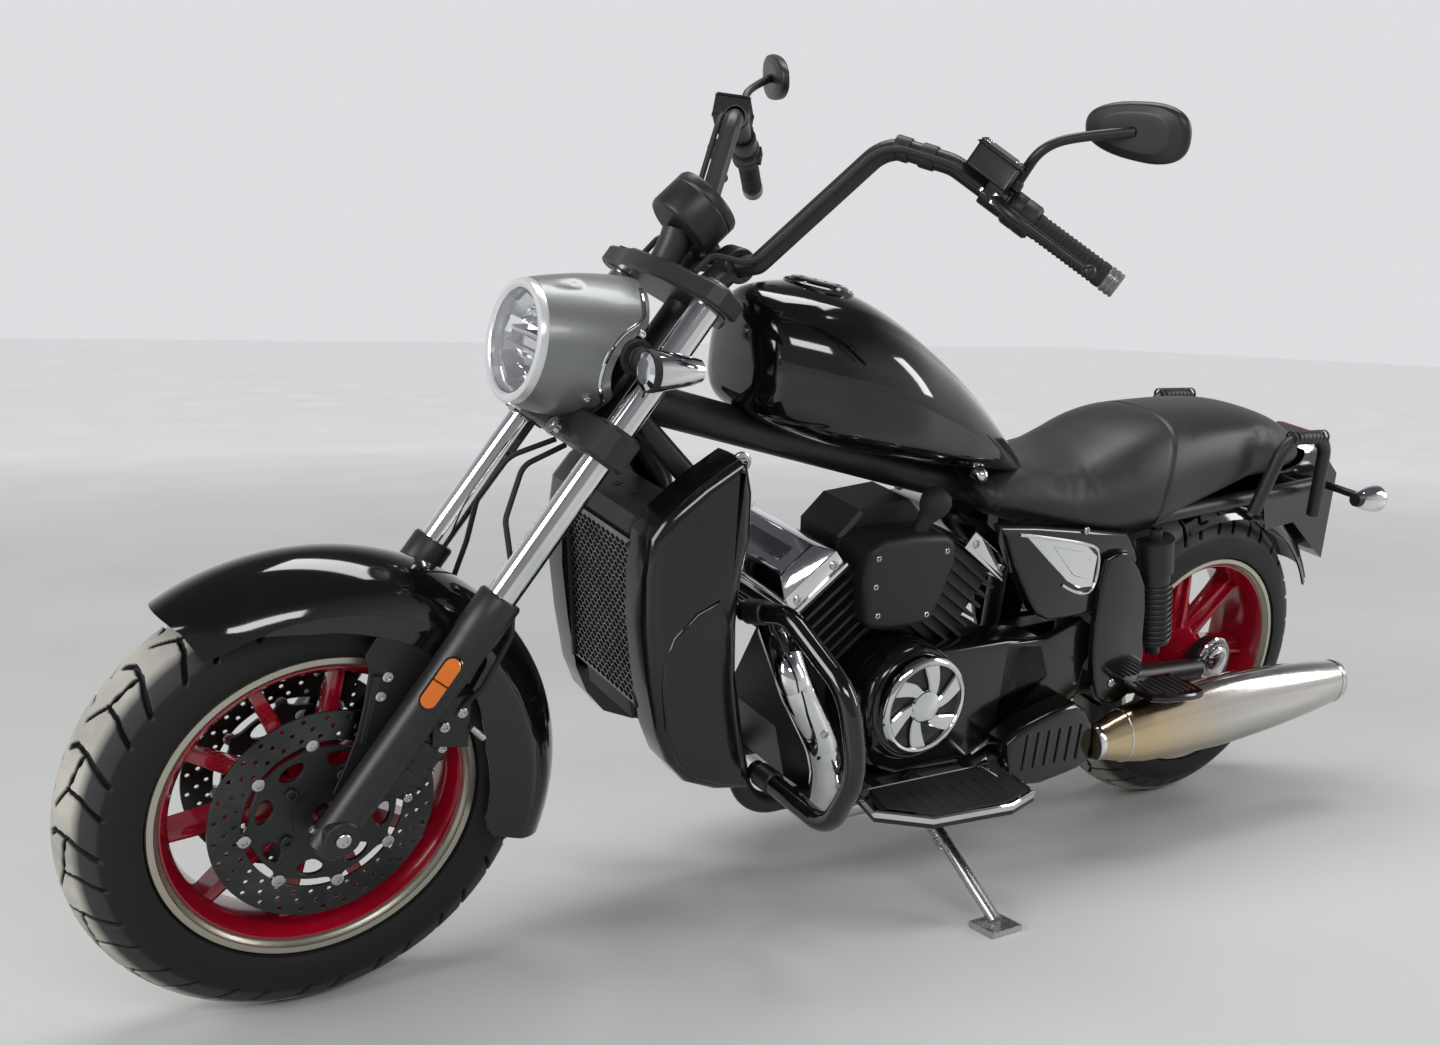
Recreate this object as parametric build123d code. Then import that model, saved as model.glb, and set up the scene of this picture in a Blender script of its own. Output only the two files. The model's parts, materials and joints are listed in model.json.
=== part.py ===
"""Cruiser motorcycle, parked on its side stand.

The machine is laid out upright: x = 0 at the rear axle and forward is +X, y = 0 on the
centre plane and the left side is +Y, z = 0 on the ground. The last section leans it to
the left about its tyres and moves the origin to the middle of its footprint box.
All sizes are in millimetres and all angles in degrees.
"""
import math
import os

from build123d import *

os.makedirs("parts", exist_ok=True)

# ---------------------------------------------------------------- driving dimensions
WHEELBASE = 1744.6
RAKE = 34.0                 # steering axis, back from the vertical
LEAN = 10.33                # to the left, as it rests on its stand
CLAMP_OFFSET = 50.0         # fork legs ahead of the steering axis
LEG_SPACING = 245.6         # between the centres of the two fork legs
RUNNING_GAP = 0.3           # between pieces that turn or seat on each other

FRONT_CROWN = 66.3          # radius of the round tread
FRONT_RING = 247.8          # radius of the circle through the middle of the tread
REAR_CROWN = 81.3
REAR_RING = 231.7
RIM_LIP = 218.0             # outer radius of both rims
RIM_SEAT = 203.0            # where the tyre beads sit
RIM_WALL = 9.0
FRONT_RIM_WIDTH = 100.0     # between the flanges
REAR_RIM_WIDTH = 140.0
FLANGE = 7.0
AXLE_R = 10.0
DISC_R = 149.0
DISC_THICK = 5.0
DISC_Y = 72.0               # middle of each front disc
REAR_DISC_R = 140.0

TUBE_R = 21.5               # chrome fork tubes
SLIDER_R = 29.0
COLLAR_R = 31.0
COLLAR_TOP = 370.0          # along the leg, from the axle
LOWER_CLAMP = (592.0, 642.0)
UPPER_CLAMP = (850.0, 880.0)
HEAD_R = 33.0
BAR_R = 15.0
GRIP_R = 18.0
FRAME_R = 17.0
STAND_R = 11.0

CRANK = (835.0, 0.0, 370.0)
FRONT_BANK = 40.0           # lean of the front cylinder, forward
REAR_BANK = -35.0
SWING_PIVOT = (430.0, 0.0, 330.0)
STAND_PIVOT = (770.0, 130.0, 199.0)
STAND_FOOT = (768.0, 385.0, 69.0)
STAND_FOLDED = (-0.985, -0.02, -0.10)   # direction of the leg when it is kicked up
TAIL_TIP = -312.0

front_radius = FRONT_RING + FRONT_CROWN
rear_radius = REAR_RING + REAR_CROWN
lean = math.radians(LEAN)
rake = math.radians(RAKE)
leg_y = LEG_SPACING / 2
# Both round treads touch the ground once the machine leans, so the front axle's height
# follows from the two tread sections.
front_axle_z = rear_radius + (
    (FRONT_RING - REAR_RING) * math.cos(lean) + FRONT_CROWN - REAR_CROWN) / math.cos(lean)
FRONT_AXLE = (WHEELBASE, 0.0, front_axle_z)
REAR_AXLE = (0.0, 0.0, rear_radius)
UP_FORK = (-math.sin(rake), 0.0, math.cos(rake))
AHEAD = (math.cos(rake), 0.0, math.sin(rake))

nodes = {}                  # node name -> solids, in the upright layout


# ---------------------------------------------------------------- ways of making shapes
def fork(along, ahead=0.0, y=0.0):
    """Point given along the fork leg from the axle, ahead of the leg line, and across."""
    return Vector(*FRONT_AXLE) + Vector(*UP_FORK) * along + Vector(*AHEAD) * ahead + Vector(0, y, 0)


def rod(start, end, radius, end_radius=None):
    """Round bar between two points, tapered when it has an end radius."""
    start, end = Vector(*start), Vector(*end)
    place = Plane(origin=start, z_dir=end - start)
    if end_radius is None:
        return Solid.make_cylinder(radius, (end - start).length, place)
    return Solid.make_cone(radius, end_radius, (end - start).length, place)


def ring(centre, outer, inner, low, high, direction=(0, 1, 0)):
    """Flat ring about a line through the centre, from low to high along the direction."""
    step = Vector(*direction).normalized()
    start, end = Vector(*centre) + step * low, Vector(*centre) + step * high
    return rod(start, end, outer) - rod(start, end, inner)


def block(low, high):
    """Box between two corners."""
    size = [b - a for a, b in zip(low, high)]
    return Solid.make_box(*size, Plane(origin=low))


def slab(outline, low_y, high_y):
    """Side-view outline of (x, z) points, given its thickness across the machine."""
    face = make_face(Polyline([(x, low_y, z) for x, z in outline], close=True))
    return extrude(face, amount=high_y - low_y, dir=(0, 1, 0))


def plate(outline, low_z, high_z):
    """Plan-view outline of (x, y) points, given its thickness upwards."""
    face = make_face(Polyline([(x, y, low_z) for x, y in outline], close=True))
    return extrude(face, amount=high_z - low_z, dir=(0, 0, 1))


def pipe(points, radius, bend):
    """Round tube of straight runs joined by tangent arcs."""
    path = FilletPolyline(*points, radius=bend)
    section = Plane(origin=path @ 0, z_dir=path % 0) * Circle(radius)
    return sweep(section, path=path)


def turned(profile, centre):
    """Closed outline of (y, radius) points, turned about the line across the machine."""
    face = make_face(Polyline([(0, y, r) for y, r in profile], close=True))
    body = revolve(face, Axis((0, 0, 0), (0, 1, 0)), 360)
    return body.moved(Location(Vector(*centre)))


def both(shape):
    """A left-hand shape with its mirror image on the right."""
    return [shape, shape.mirror(Plane.XZ)]


def joined(*shapes):
    """One solid out of several that meet."""
    whole = shapes[0]
    for shape in shapes[1:]:
        whole = whole + shape
    return whole


def add(name, *shapes):
    """Files the solids of a node, taken apart so that each is a solid of its own."""
    solids = []
    for shape in shapes:
        parts = shape if isinstance(shape, list) else [shape]
        for part in parts:
            solids.extend(part.solids())
    nodes[name] = solids


def less(shape, *names):
    """The shape, cut back to the faces of the nodes that it seats on."""
    for name in names:
        for solid in nodes[name]:
            shape = shape - solid
    return shape


def arch_section(x, low, high, half, foot=0.7, shoulder=0.6):
    """Cross-section of a tank or saddle: flat below, bellied sides, round back."""
    height = high - low
    right = (x, -half * foot, low)
    left = (x, half * foot, low)
    hip_left = (x, half * shoulder, high - 0.18 * height)
    hip_right = (x, -half * shoulder, high - 0.18 * height)
    edges = [
        Line(right, left),
        ThreePointArc(left, (x, half, low + 0.42 * height), hip_left),
        ThreePointArc(hip_left, (x, 0, high), hip_right),
        ThreePointArc(hip_right, (x, -half, low + 0.42 * height), right),
    ]
    return make_face(edges)


# ---------------------------------------------------------------- wheels
def tyre(ring_r, crown_r, rim_width, centre):
    """Tyre with a round tread, straight sides and beads seated between the flanges."""
    seat = rim_width / 2
    shoulder_r = RIM_LIP + 3
    shoulder = (math.sqrt(crown_r ** 2 - (ring_r - shoulder_r) ** 2), shoulder_r)
    edges = [
        Line((0, -seat, RIM_SEAT), (0, seat, RIM_SEAT)),
        Line((0, seat, RIM_SEAT), (0, seat, RIM_LIP + 1)),
        Line((0, seat, RIM_LIP + 1), (0, shoulder[0], shoulder[1])),
        ThreePointArc((0, shoulder[0], shoulder[1]), (0, 0, ring_r + crown_r),
                      (0, -shoulder[0], shoulder[1])),
        Line((0, -shoulder[0], shoulder[1]), (0, -seat, RIM_LIP + 1)),
        Line((0, -seat, RIM_LIP + 1), (0, -seat, RIM_SEAT)),
    ]
    body = revolve(make_face(edges), Axis((0, 0, 0), (0, 1, 0)), 360)
    return body.moved(Location(Vector(*centre)))


def rim(width, hub_r, hub_half, spokes, spoke_size, turn, centre):
    """Cast wheel: barrel with flanges, hub with a running bore, and flat spokes."""
    seat = width / 2
    lip = seat + FLANGE
    barrel = turned([(-lip, RIM_LIP), (-lip, RIM_SEAT - RIM_WALL), (lip, RIM_SEAT - RIM_WALL),
                     (lip, RIM_LIP), (seat, RIM_LIP), (seat, RIM_SEAT), (-seat, RIM_SEAT),
                     (-seat, RIM_LIP)], (0, 0, 0))
    hub = ring((0, 0, 0), hub_r, AXLE_R + RUNNING_GAP, -hub_half, hub_half)
    thick, depth = spoke_size
    inner, outer = hub_r - 4, RIM_SEAT - RIM_WALL + 3
    wheel = barrel + hub
    for count in range(spokes):
        spoke = block((inner, -depth / 2, -thick / 2), (outer, depth / 2, thick / 2))
        wheel = wheel + spoke.rotate(Axis.Y, turn + 360 * count / spokes)
    return wheel.moved(Location(Vector(*centre)))


def disc(radius, middle_y, centre, carrier_r=42.0):
    """Brake disc with its carrier: a thin ring whose middle is cut by round windows."""
    plate_ring = ring((0, middle_y, 0), radius, carrier_r, -DISC_THICK / 2, DISC_THICK / 2)
    window_at = 0.62 * radius
    for count in range(6):
        angle = math.radians(30 + 60 * count)
        spot = (window_at * math.cos(angle), 0, window_at * math.sin(angle))
        plate_ring = plate_ring - rod((spot[0], middle_y - 10, spot[2]),
                                      (spot[0], middle_y + 10, spot[2]), 16)
    return plate_ring.moved(Location(Vector(*centre)))


FRONT_HUB_HALF = 92.0
REAR_HUB_HALF = 84.0
HUB_R = 40.0

add("front_tyre", tyre(FRONT_RING, FRONT_CROWN, FRONT_RIM_WIDTH, FRONT_AXLE))
add("front_rim", rim(FRONT_RIM_WIDTH, HUB_R, FRONT_HUB_HALF, 10, (17, 34), 8, FRONT_AXLE))
add("front_discs", *[disc(DISC_R, side * DISC_Y, FRONT_AXLE, HUB_R) for side in (1, -1)])
add("rear_tyre", tyre(REAR_RING, REAR_CROWN, REAR_RIM_WIDTH, REAR_AXLE))
add("rear_rim", rim(REAR_RIM_WIDTH, HUB_R + 12, REAR_HUB_HALF, 7, (46, 30), 20, REAR_AXLE))
add("rear_disc", disc(REAR_DISC_R, -(REAR_HUB_HALF - DISC_THICK / 2), REAR_AXLE, HUB_R + 12))

# ---------------------------------------------------------------- fork
AXLE_HALF = leg_y + 20
leg_inner = leg_y - SLIDER_R
spacer = [rod((WHEELBASE, side * (FRONT_HUB_HALF + RUNNING_GAP), front_axle_z),
              (WHEELBASE, side * (leg_inner + 0.5), front_axle_z), 17) for side in (1, -1)]
front_axle = joined(rod((WHEELBASE, -AXLE_HALF, front_axle_z), (WHEELBASE, AXLE_HALF, front_axle_z), AXLE_R),
                    *spacer)
add("front_axle", front_axle)

sliders = []
for side in (1, -1):
    y = side * leg_y
    leg = joined(rod(fork(-34, 0, y), fork(COLLAR_TOP - 60, 0, y), SLIDER_R - 3, SLIDER_R),
                 rod(fork(COLLAR_TOP - 62, 0, y), fork(COLLAR_TOP, 0, y), COLLAR_R),
                 rod((WHEELBASE, y - side * SLIDER_R, front_axle_z), (WHEELBASE, y + side * 18, front_axle_z), 24))
    leg = leg - rod(fork(COLLAR_TOP - 40, 0, y), fork(COLLAR_TOP + 1, 0, y), TUBE_R)
    sliders.append(leg)
sliders = [less(leg, "front_axle") for leg in sliders]
add("fork_sliders", *sliders)
add("fork_tubes", *[rod(fork(COLLAR_TOP - 40, 0, s * leg_y), fork(UPPER_CLAMP[1] + 4, 0, s * leg_y), TUBE_R)
                    for s in (1, -1)])


def fork_plate(outline, low, high):
    """Plate across the fork: (ahead, y) outline of its left half, mirrored, low to high."""
    points = outline + [(a, -y) for a, y in reversed(outline)]
    face = make_face(Polyline([fork(low, a, y) for a, y in points], close=True))
    return extrude(face, amount=high - low, dir=UP_FORK)


CLAMP_LUG = 13.0            # metal round each tube
lug = TUBE_R + CLAMP_LUG
stem_boss = rod(fork(UPPER_CLAMP[1] - 2, -CLAMP_OFFSET), fork(UPPER_CLAMP[1] + 12, -CLAMP_OFFSET), 20)
lower = fork_plate([(-CLAMP_OFFSET - 38, 45), (-lug, leg_y), (-lug * 0.6, leg_y + lug), (lug * 0.7, leg_y + lug),
                    (lug, leg_y - 20), (lug + 6, 40)], *LOWER_CLAMP)
upper = fork_plate([(-CLAMP_OFFSET - 34, 50), (-lug, leg_y + 5), (-lug * 0.5, leg_y + lug + 12),
                    (lug * 0.6, leg_y + lug + 12), (lug, leg_y - 20), (lug + 16, 60)], *UPPER_CLAMP)
for side in (1, -1):
    lower = lower - rod(fork(LOWER_CLAMP[0] - 5, 0, side * leg_y), fork(LOWER_CLAMP[1] + 5, 0, side * leg_y), TUBE_R)
    upper = upper - rod(fork(UPPER_CLAMP[0] - 5, 0, side * leg_y), fork(UPPER_CLAMP[1] + 9, 0, side * leg_y), TUBE_R)

RISER_TOP = (938.0, -41.0)
RISER_Y = 50.0
BAR_KNEE = (1172.0, 88.0, 1076.0)
BAR_TOP = (1058.0, 205.0, 1266.0)
BAR_TURN = (1000.0, 280.0, 1252.0)
BAR_END = (853.0, 454.0, 1135.0)
bar_middle = fork(RISER_TOP[0], RISER_TOP[1])
half_bar = [BAR_KNEE, BAR_TOP, BAR_TURN, BAR_END]
bar_points = ([(x, -y, z) for x, y, z in reversed(half_bar)]
              + [(bar_middle.X, -RISER_Y - 18, bar_middle.Z), (bar_middle.X, RISER_Y + 18, bar_middle.Z)] + half_bar)
add("handlebar", pipe(bar_points, BAR_R, [60, 60, 16, 16, 16, 16, 60, 60][:len(bar_points) - 2]))

risers = [joined(rod(fork(UPPER_CLAMP[1] - 5, -22, s * RISER_Y), fork(RISER_TOP[0], RISER_TOP[1], s * RISER_Y), 19),
                 rod(fork(RISER_TOP[0], RISER_TOP[1], s * (RISER_Y - 18)), fork(RISER_TOP[0], RISER_TOP[1], s * (RISER_Y + 18)),
                     BAR_R + 11)) for s in (1, -1)]
risers = [less(riser, "handlebar") for riser in risers]
add("lower_clamp", lower)
add("upper_clamp", joined(upper, stem_boss, *risers))

# ---------------------------------------------------------------- handlebar and controls
bar_turn, bar_end = Vector(*BAR_TURN), Vector(*BAR_END)
along_grip = (bar_end - bar_turn).normalized()


def on_grip(back):
    """Point on the left grip's line, a distance back from the bar's end."""
    return bar_end - along_grip * back


def sleeve(back_from, back_to, radius, bore=BAR_R):
    """Sleeve round the straight end of the bar."""
    return rod(on_grip(back_from), on_grip(back_to), radius) - rod(on_grip(back_from + 5), on_grip(back_to - 5), bore)


GRIP_LONG = 118.0
add("grips", both(joined(sleeve(GRIP_LONG, -1, GRIP_R), rod(on_grip(0), bar_end + along_grip * 22, GRIP_R + 1))))
across_grip = along_grip.cross(Vector(0, 0, 1)).normalized()
above_grip = across_grip.cross(along_grip).normalized()
if above_grip.Z < 0:
    above_grip = above_grip * -1
ahead_grip = across_grip if across_grip.X > 0 else across_grip * -1
housing = sleeve(GRIP_LONG + 46, GRIP_LONG + 1, 25)
PERCH_AT = GRIP_LONG + 66
reservoir_at = on_grip(PERCH_AT + 22) + above_grip * 36 + ahead_grip * 22
reservoir = Box(52, 66, 40).moved(Plane(origin=reservoir_at, x_dir=ahead_grip, z_dir=above_grip).location)
lever_clamp = sleeve(PERCH_AT + 18, GRIP_LONG + 47, 22)
lever = pipe([on_grip(PERCH_AT) + ahead_grip * 20, on_grip(GRIP_LONG + 40) + ahead_grip * 62,
              on_grip(20) + ahead_grip * 52], 6, 12)
lever_ball = Solid.make_sphere(10, Plane(origin=on_grip(20) + ahead_grip * 52), -90, 90, 360)
hand_control = joined(lever_clamp, reservoir, lever, lever_ball)
hand_control = hand_control - rod(on_grip(300), bar_end, BAR_R)
add("switch_housings", both(housing))
add("hand_controls", both(hand_control - housing))

MIRROR_FOOT = on_grip(PERCH_AT - 12) + above_grip * (22 + RUNNING_GAP)
MIRROR_BEND = Vector(938, 380, 1292)
MIRROR_CENTRE = Vector(836, 447, 1329)
mirror_face = Vector(-0.93, -0.32, 0.14).normalized()
glass_plane = Plane(origin=MIRROR_CENTRE, x_dir=Vector(0, 0, 1).cross(mirror_face), z_dir=mirror_face)
glass = extrude(glass_plane * Ellipse(78, 46), amount=9, both=True)
arm_end = MIRROR_CENTRE - mirror_face * 8
mirror = joined(pipe([MIRROR_FOOT, MIRROR_BEND, arm_end], 7, 20), glass)
add("mirrors", both(less(mirror, "hand_controls")))

# ---------------------------------------------------------------- lamps and gauge at the front
LAMP_CENTRE = (1484.0, 0.0, 943.0)
LAMP_R = 88.0
LAMP_TILT = 8.0
NACELLE_BACK = (1360.0, 0.0, 937.0)
NACELLE_R = 106.0
tilt = math.radians(LAMP_TILT)
lamp_axis = Vector(math.cos(tilt), 0, math.sin(tilt))
back_axis = Vector(math.cos(math.radians(23)), 0, math.sin(math.radians(23)))
nacelle = loft([Plane(origin=LAMP_CENTRE, z_dir=lamp_axis) * Circle(LAMP_R),
                Plane(origin=NACELLE_BACK, z_dir=back_axis) * Circle(NACELLE_R)], ruled=True)
add("headlamp_nacelle", less(nacelle, "lower_clamp", "upper_clamp", "fork_tubes"))
lamp_face = Vector(*LAMP_CENTRE)
add("headlamp_lens", rod(lamp_face, lamp_face + lamp_axis * 14, LAMP_R - 11))

GAUGE = (962.0, 32.0)
GAUGE_R = 54.0
gauge_tilt = (Vector(*UP_FORK) * math.cos(0.2) - Vector(*AHEAD) * math.sin(0.2)).normalized()
gauge_low = fork(*GAUGE) - gauge_tilt * 34
gauge = joined(rod(gauge_low, gauge_low + gauge_tilt * 68, GAUGE_R),
               rod(fork(UPPER_CLAMP[1], 22), gauge_low + gauge_tilt * 5, 24))
add("gauge_pod", less(gauge, "upper_clamp"))

SIGNAL_FRONT = Vector(1385, 186, 944)
stalk_at = SIGNAL_FRONT + Vector(-26, 0, 0)
signal = joined(rod(SIGNAL_FRONT, SIGNAL_FRONT + Vector(-82, 0, 0), 29, 13),
                rod(SIGNAL_FRONT, SIGNAL_FRONT + Vector(9, 0, 0), 29, 22),
                rod(stalk_at, stalk_at + Vector(0, NACELLE_R + RUNNING_GAP - SIGNAL_FRONT.Y, 0), 9))
add("front_turn_signals", both(signal))

# ---------------------------------------------------------------- front fender and brakes
FENDER_GAP = 34.0           # fender over the tread
FENDER_HALF = leg_y - SLIDER_R - RUNNING_GAP
FENDER_WALL = 4.0
fender_r = front_radius + FENDER_GAP
FENDER_FROM, FENDER_TO = 57.0, 197.0
outer = ThreePointArc((0, -FENDER_HALF, fender_r - 60), (0, 0, fender_r), (0, FENDER_HALF, fender_r - 60))
inner = ThreePointArc((0, FENDER_HALF - FENDER_WALL, fender_r - 61), (0, 0, fender_r - FENDER_WALL),
                      (0, -FENDER_HALF + FENDER_WALL, fender_r - 61))
skirt = 36.0
edges = [outer,
         Line((0, FENDER_HALF, fender_r - 60), (0, FENDER_HALF, fender_r - 60 - skirt)),
         Line((0, FENDER_HALF, fender_r - 60 - skirt), (0, FENDER_HALF - FENDER_WALL, fender_r - 60 - skirt)),
         Line((0, FENDER_HALF - FENDER_WALL, fender_r - 60 - skirt), (0, FENDER_HALF - FENDER_WALL, fender_r - 61)),
         inner,
         Line((0, -FENDER_HALF + FENDER_WALL, fender_r - 61), (0, -FENDER_HALF + FENDER_WALL, fender_r - 60 - skirt)),
         Line((0, -FENDER_HALF + FENDER_WALL, fender_r - 60 - skirt), (0, -FENDER_HALF, fender_r - 60 - skirt)),
         Line((0, -FENDER_HALF, fender_r - 60 - skirt), (0, -FENDER_HALF, fender_r - 60))]
fender = revolve(make_face(edges), Axis((0, 0, 0), (0, 1, 0)), FENDER_TO - FENDER_FROM)
fender = fender.rotate(Axis.Y, -(FENDER_FROM - 90) - (FENDER_TO - FENDER_FROM))
fender = fender.moved(Location(Vector(*FRONT_AXLE)))
add("front_fender", less(fender, "fork_sliders"))

CALIPER_AT = (110.0, -60.0)   # along the leg and ahead of it
calipers = []
for side in (1, -1):
    centre = fork(CALIPER_AT[0], CALIPER_AT[1], 0)
    body_plane = Plane(origin=centre, x_dir=(0, 1, 0), z_dir=UP_FORK)
    low_y, high_y = DISC_Y - 19, leg_inner - 0.5
    caliper = Box(high_y - low_y, 60, 100).moved((body_plane).location)
    caliper = caliper.moved(Location((0, (low_y + high_y) / 2, 0)))
    slot = rod((WHEELBASE, DISC_Y - DISC_THICK / 2 - 1, front_axle_z),
               (WHEELBASE, DISC_Y + DISC_THICK / 2 + 1, front_axle_z), DISC_R + 4)
    caliper = caliper - slot
    calipers.append(caliper if side == 1 else caliper.mirror(Plane.XZ))
add("front_calipers", *calipers)

HOSE_R = 4.0
HOSE = [  # along the leg, ahead of it, across
    (LOWER_CLAMP[0] - HOSE_R - RUNNING_GAP, -6, 16),
    (530, 34, 24),
    (455, 22, 50),
    (395, -22, 84),
    (330, -56, 110),
    (250, -66, 110),
    (CALIPER_AT[0] + 52, CALIPER_AT[1], 84),
]
hose = pipe([fork(*point) for point in HOSE], HOSE_R, [35, 35, 35, 35, 40])
add("brake_hoses", both(hose))

CABLE_R = 4.5
knee_run, grip_run = Vector(*BAR_TOP) - Vector(*BAR_KNEE), bar_end - bar_turn
cable_side = grip_run.cross(knee_run).normalized() * (BAR_R + CABLE_R + 2)
cable = pipe([on_grip(PERCH_AT + 18 + RUNNING_GAP) + cable_side, bar_turn + cable_side, Vector(*BAR_TOP) + cable_side,
              Vector(*BAR_KNEE) + cable_side, fork(UPPER_CLAMP[1] + 40, 14, 78),
              fork(UPPER_CLAMP[1] + CABLE_R + RUNNING_GAP, 20, 76)], CABLE_R, [60, 60, 40, 18])
add("control_cables", both(cable))

# ---------------------------------------------------------------- frame
head_low = fork(LOWER_CLAMP[1] + RUNNING_GAP, -CLAMP_OFFSET)
head_high = fork(UPPER_CLAMP[0] - RUNNING_GAP, -CLAMP_OFFSET)
head = rod(head_low, head_high, HEAD_R)
neck = fork(700, -CLAMP_OFFSET - 12)
BACKBONE_END = (560.0, 0.0, 672.0)
DOWNTUBE = [(1316, 10, 850), (1196, 78, 716), (1150, 92, 420), (1085, 96, 205), (620, 96, 205), (430, 96, 300),
            (430, 96, 620)]
downtubes = [pipe([(x, s * y, z) for x, y, z in DOWNTUBE], FRAME_R, [80, 60, 70, 60, 60]) for s in (1, -1)]
RAIL = [(585, 60, 668), (430, 112, 610), (250, 118, 650), (-185, 118, 690)]
rails = [pipe([(x, s * y, z) for x, y, z in RAIL], FRAME_R - 3, [60, 60]) for s in (1, -1)]
frame = joined(head, rod(neck, BACKBONE_END, 30), *downtubes, *rails)
crossbars = [rod((1150, -92, 422), (1150, 92, 422), 12), rod((430, -96, 330), (430, 96, 330), 24),
             rod((430, -112, 612), (430, 112, 612), 14), rod((640, -96, 205), (640, 96, 205), 12),
             rod((-150, -118, 687), (-150, 118, 687), 10)]
frame = joined(frame, *crossbars)
add("frame", frame)

# ---------------------------------------------------------------- tank and saddle
TANK = [  # station x, underside, ridge, half width
    (1140, 840, 1020, 92),
    (1040, 806, 1036, 150),
    (900, 780, 1001, 168),
    (740, 752, 905, 140),
    (575, 730, 757, 74),
]
tank = loft([arch_section(*station) for station in TANK])
add("fuel_tank", less(tank, "frame"))

SADDLE = [  # station x, underside, top, half width
    (690, 676, 742, 120),
    (560, 652, 762, 142),
    (450, 622, 757, 162),
    (340, 604, 806, 170),
    (200, 640, 834, 162),
    (0, 700, 836, 142),
    (-130, 712, 812, 114),
    (-200, 716, 768, 74),
]
saddle = loft([arch_section(*station) for station in SADDLE])
saddle = less(saddle, "fuel_tank", "frame")
add("saddle", saddle)

# ---------------------------------------------------------------- engine
crank_x, crank_y, crank_z = CRANK
CASE_HALF = 76.0
case = slab([(1000, 235), (1030, 330), (985, 440), (900, 500), (760, 500), (640, 470), (560, 420), (520, 300),
             (560, 225), (760, 190), (940, 190)], -CASE_HALF, CASE_HALF)
add("crankcase", less(case, "frame"))


def bank_shape(angle, low, high, half_wide, half_deep):
    """Box about a cylinder's axis, from low to high along it, measured from the crank."""
    place = Plane(origin=CRANK, x_dir=(math.cos(math.radians(angle)), 0, -math.sin(math.radians(angle))),
                  z_dir=(math.sin(math.radians(angle)), 0, math.cos(math.radians(angle))))
    shape = Box(2 * half_wide, 2 * half_deep, high - low).moved(Location((0, 0, (low + high) / 2)))
    return shape.moved(place.location)


FIN_COUNT = 7
FIN_FROM, FIN_TO = 134.0, 254.0
HEAD_TOP = 272.0
COVER_HIGH = 60.0
barrels = []
for angle in (FRONT_BANK, REAR_BANK):
    barrel = bank_shape(angle, 118, HEAD_TOP, 56, 92)
    for count in range(FIN_COUNT):
        low = FIN_FROM + (FIN_TO - FIN_FROM) * count / (FIN_COUNT - 1)
        barrel = barrel + bank_shape(angle, low, low + 6, 68, 108)
    barrels.append(less(barrel, "crankcase", "frame"))
barrels[1] = barrels[1] - barrels[0]
add("cylinders", *barrels)


covers = []
for angle in (FRONT_BANK, REAR_BANK):
    cover = bank_shape(angle, HEAD_TOP, HEAD_TOP + COVER_HIGH, 60, 126)
    up = Vector(math.sin(math.radians(angle)), 0, math.cos(math.radians(angle)))
    top = sorted(cover.faces(), key=lambda f: f.center().dot(up))[-1]
    cover = chamfer(top.edges(), 24)
    covers.append(less(cover, "frame", "saddle"))
add("rocker_covers", *covers)

intake = slab([(925, 490), (945, 640), (900, 690), (800, 700), (735, 640), (740, 520), (800, 490)], -60, 60)
intake_cover = slab([(905, 478), (925, 628), (915, 645), (765, 645), (745, 625), (735, 490), (800, 505)], 60, 140)
add("intake_housing", less(joined(intake, intake_cover), "frame", "cylinders", "rocker_covers", "crankcase", "fuel_tank"))

COVER_Y = 190.0
VANE_R = 85.0
COVER_FACE = 150.0
COVER_SKIN = 17.0
left_cover = joined(rod((crank_x, CASE_HALF, crank_z + 5), (crank_x, COVER_Y, crank_z + 18), 104, 92),
                    slab([(900, 300), (890, 440), (820, 460), (612, 459), (527, 449), (490, 380), (510, 296),
                          (600, 280), (680, 236), (840, 240)], CASE_HALF, COVER_FACE),
                    slab([(560, 452), (527, 449), (438, 480), (392, 432), (413, 387), (423, 320), (560, 288)],
                         COVER_FACE - COVER_SKIN, COVER_FACE))
right_cover = joined(rod((crank_x, -CASE_HALF, crank_z), (crank_x, -COVER_Y + 25, crank_z), 100, 90),
                     slab([(900, 300), (880, 440), (760, 462), (620, 430), (540, 380), (560, 270), (840, 240)],
                          -150, -CASE_HALF))
add("engine_side_covers", *[less(cover, "frame", "crankcase", "cylinders") for cover in (left_cover, right_cover)])
vane_low = Vector(crank_x - 8, COVER_Y, crank_z + 18)
vane = rod(vane_low, vane_low + Vector(0, 16, 0), VANE_R)
add("vane_cover", less(vane, "engine_side_covers"))

# ---------------------------------------------------------------- radiator
RADIATOR = [(1297, 418), (1334, 680)]
(rad_x0, rad_z0), (rad_x1, rad_z1) = RADIATOR
RADIATOR_HALF = 108.0
core = slab([(rad_x0, rad_z0), (rad_x1, rad_z1), (rad_x1 - 60, rad_z1), (rad_x0 - 60, rad_z0)],
            -RADIATOR_HALF, RADIATOR_HALF)
brackets = [rod((1168, s * 86, 520), (1262, s * 88, 520), 8) for s in (1, -1)]
add("radiator", less(joined(core, *brackets), "frame"))
SHROUD = [(1215, 812), (1270, 775), (1345, 705), (1342, 572), (1302, 394), (1244, 308), (1128, 278), (1150, 378),
          (1185, 560), (1178, 690), (1195, 800)]
shroud = slab(SHROUD, RADIATOR_HALF, 178)
add("radiator_shrouds", both(less(shroud, "radiator", "frame")))

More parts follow.
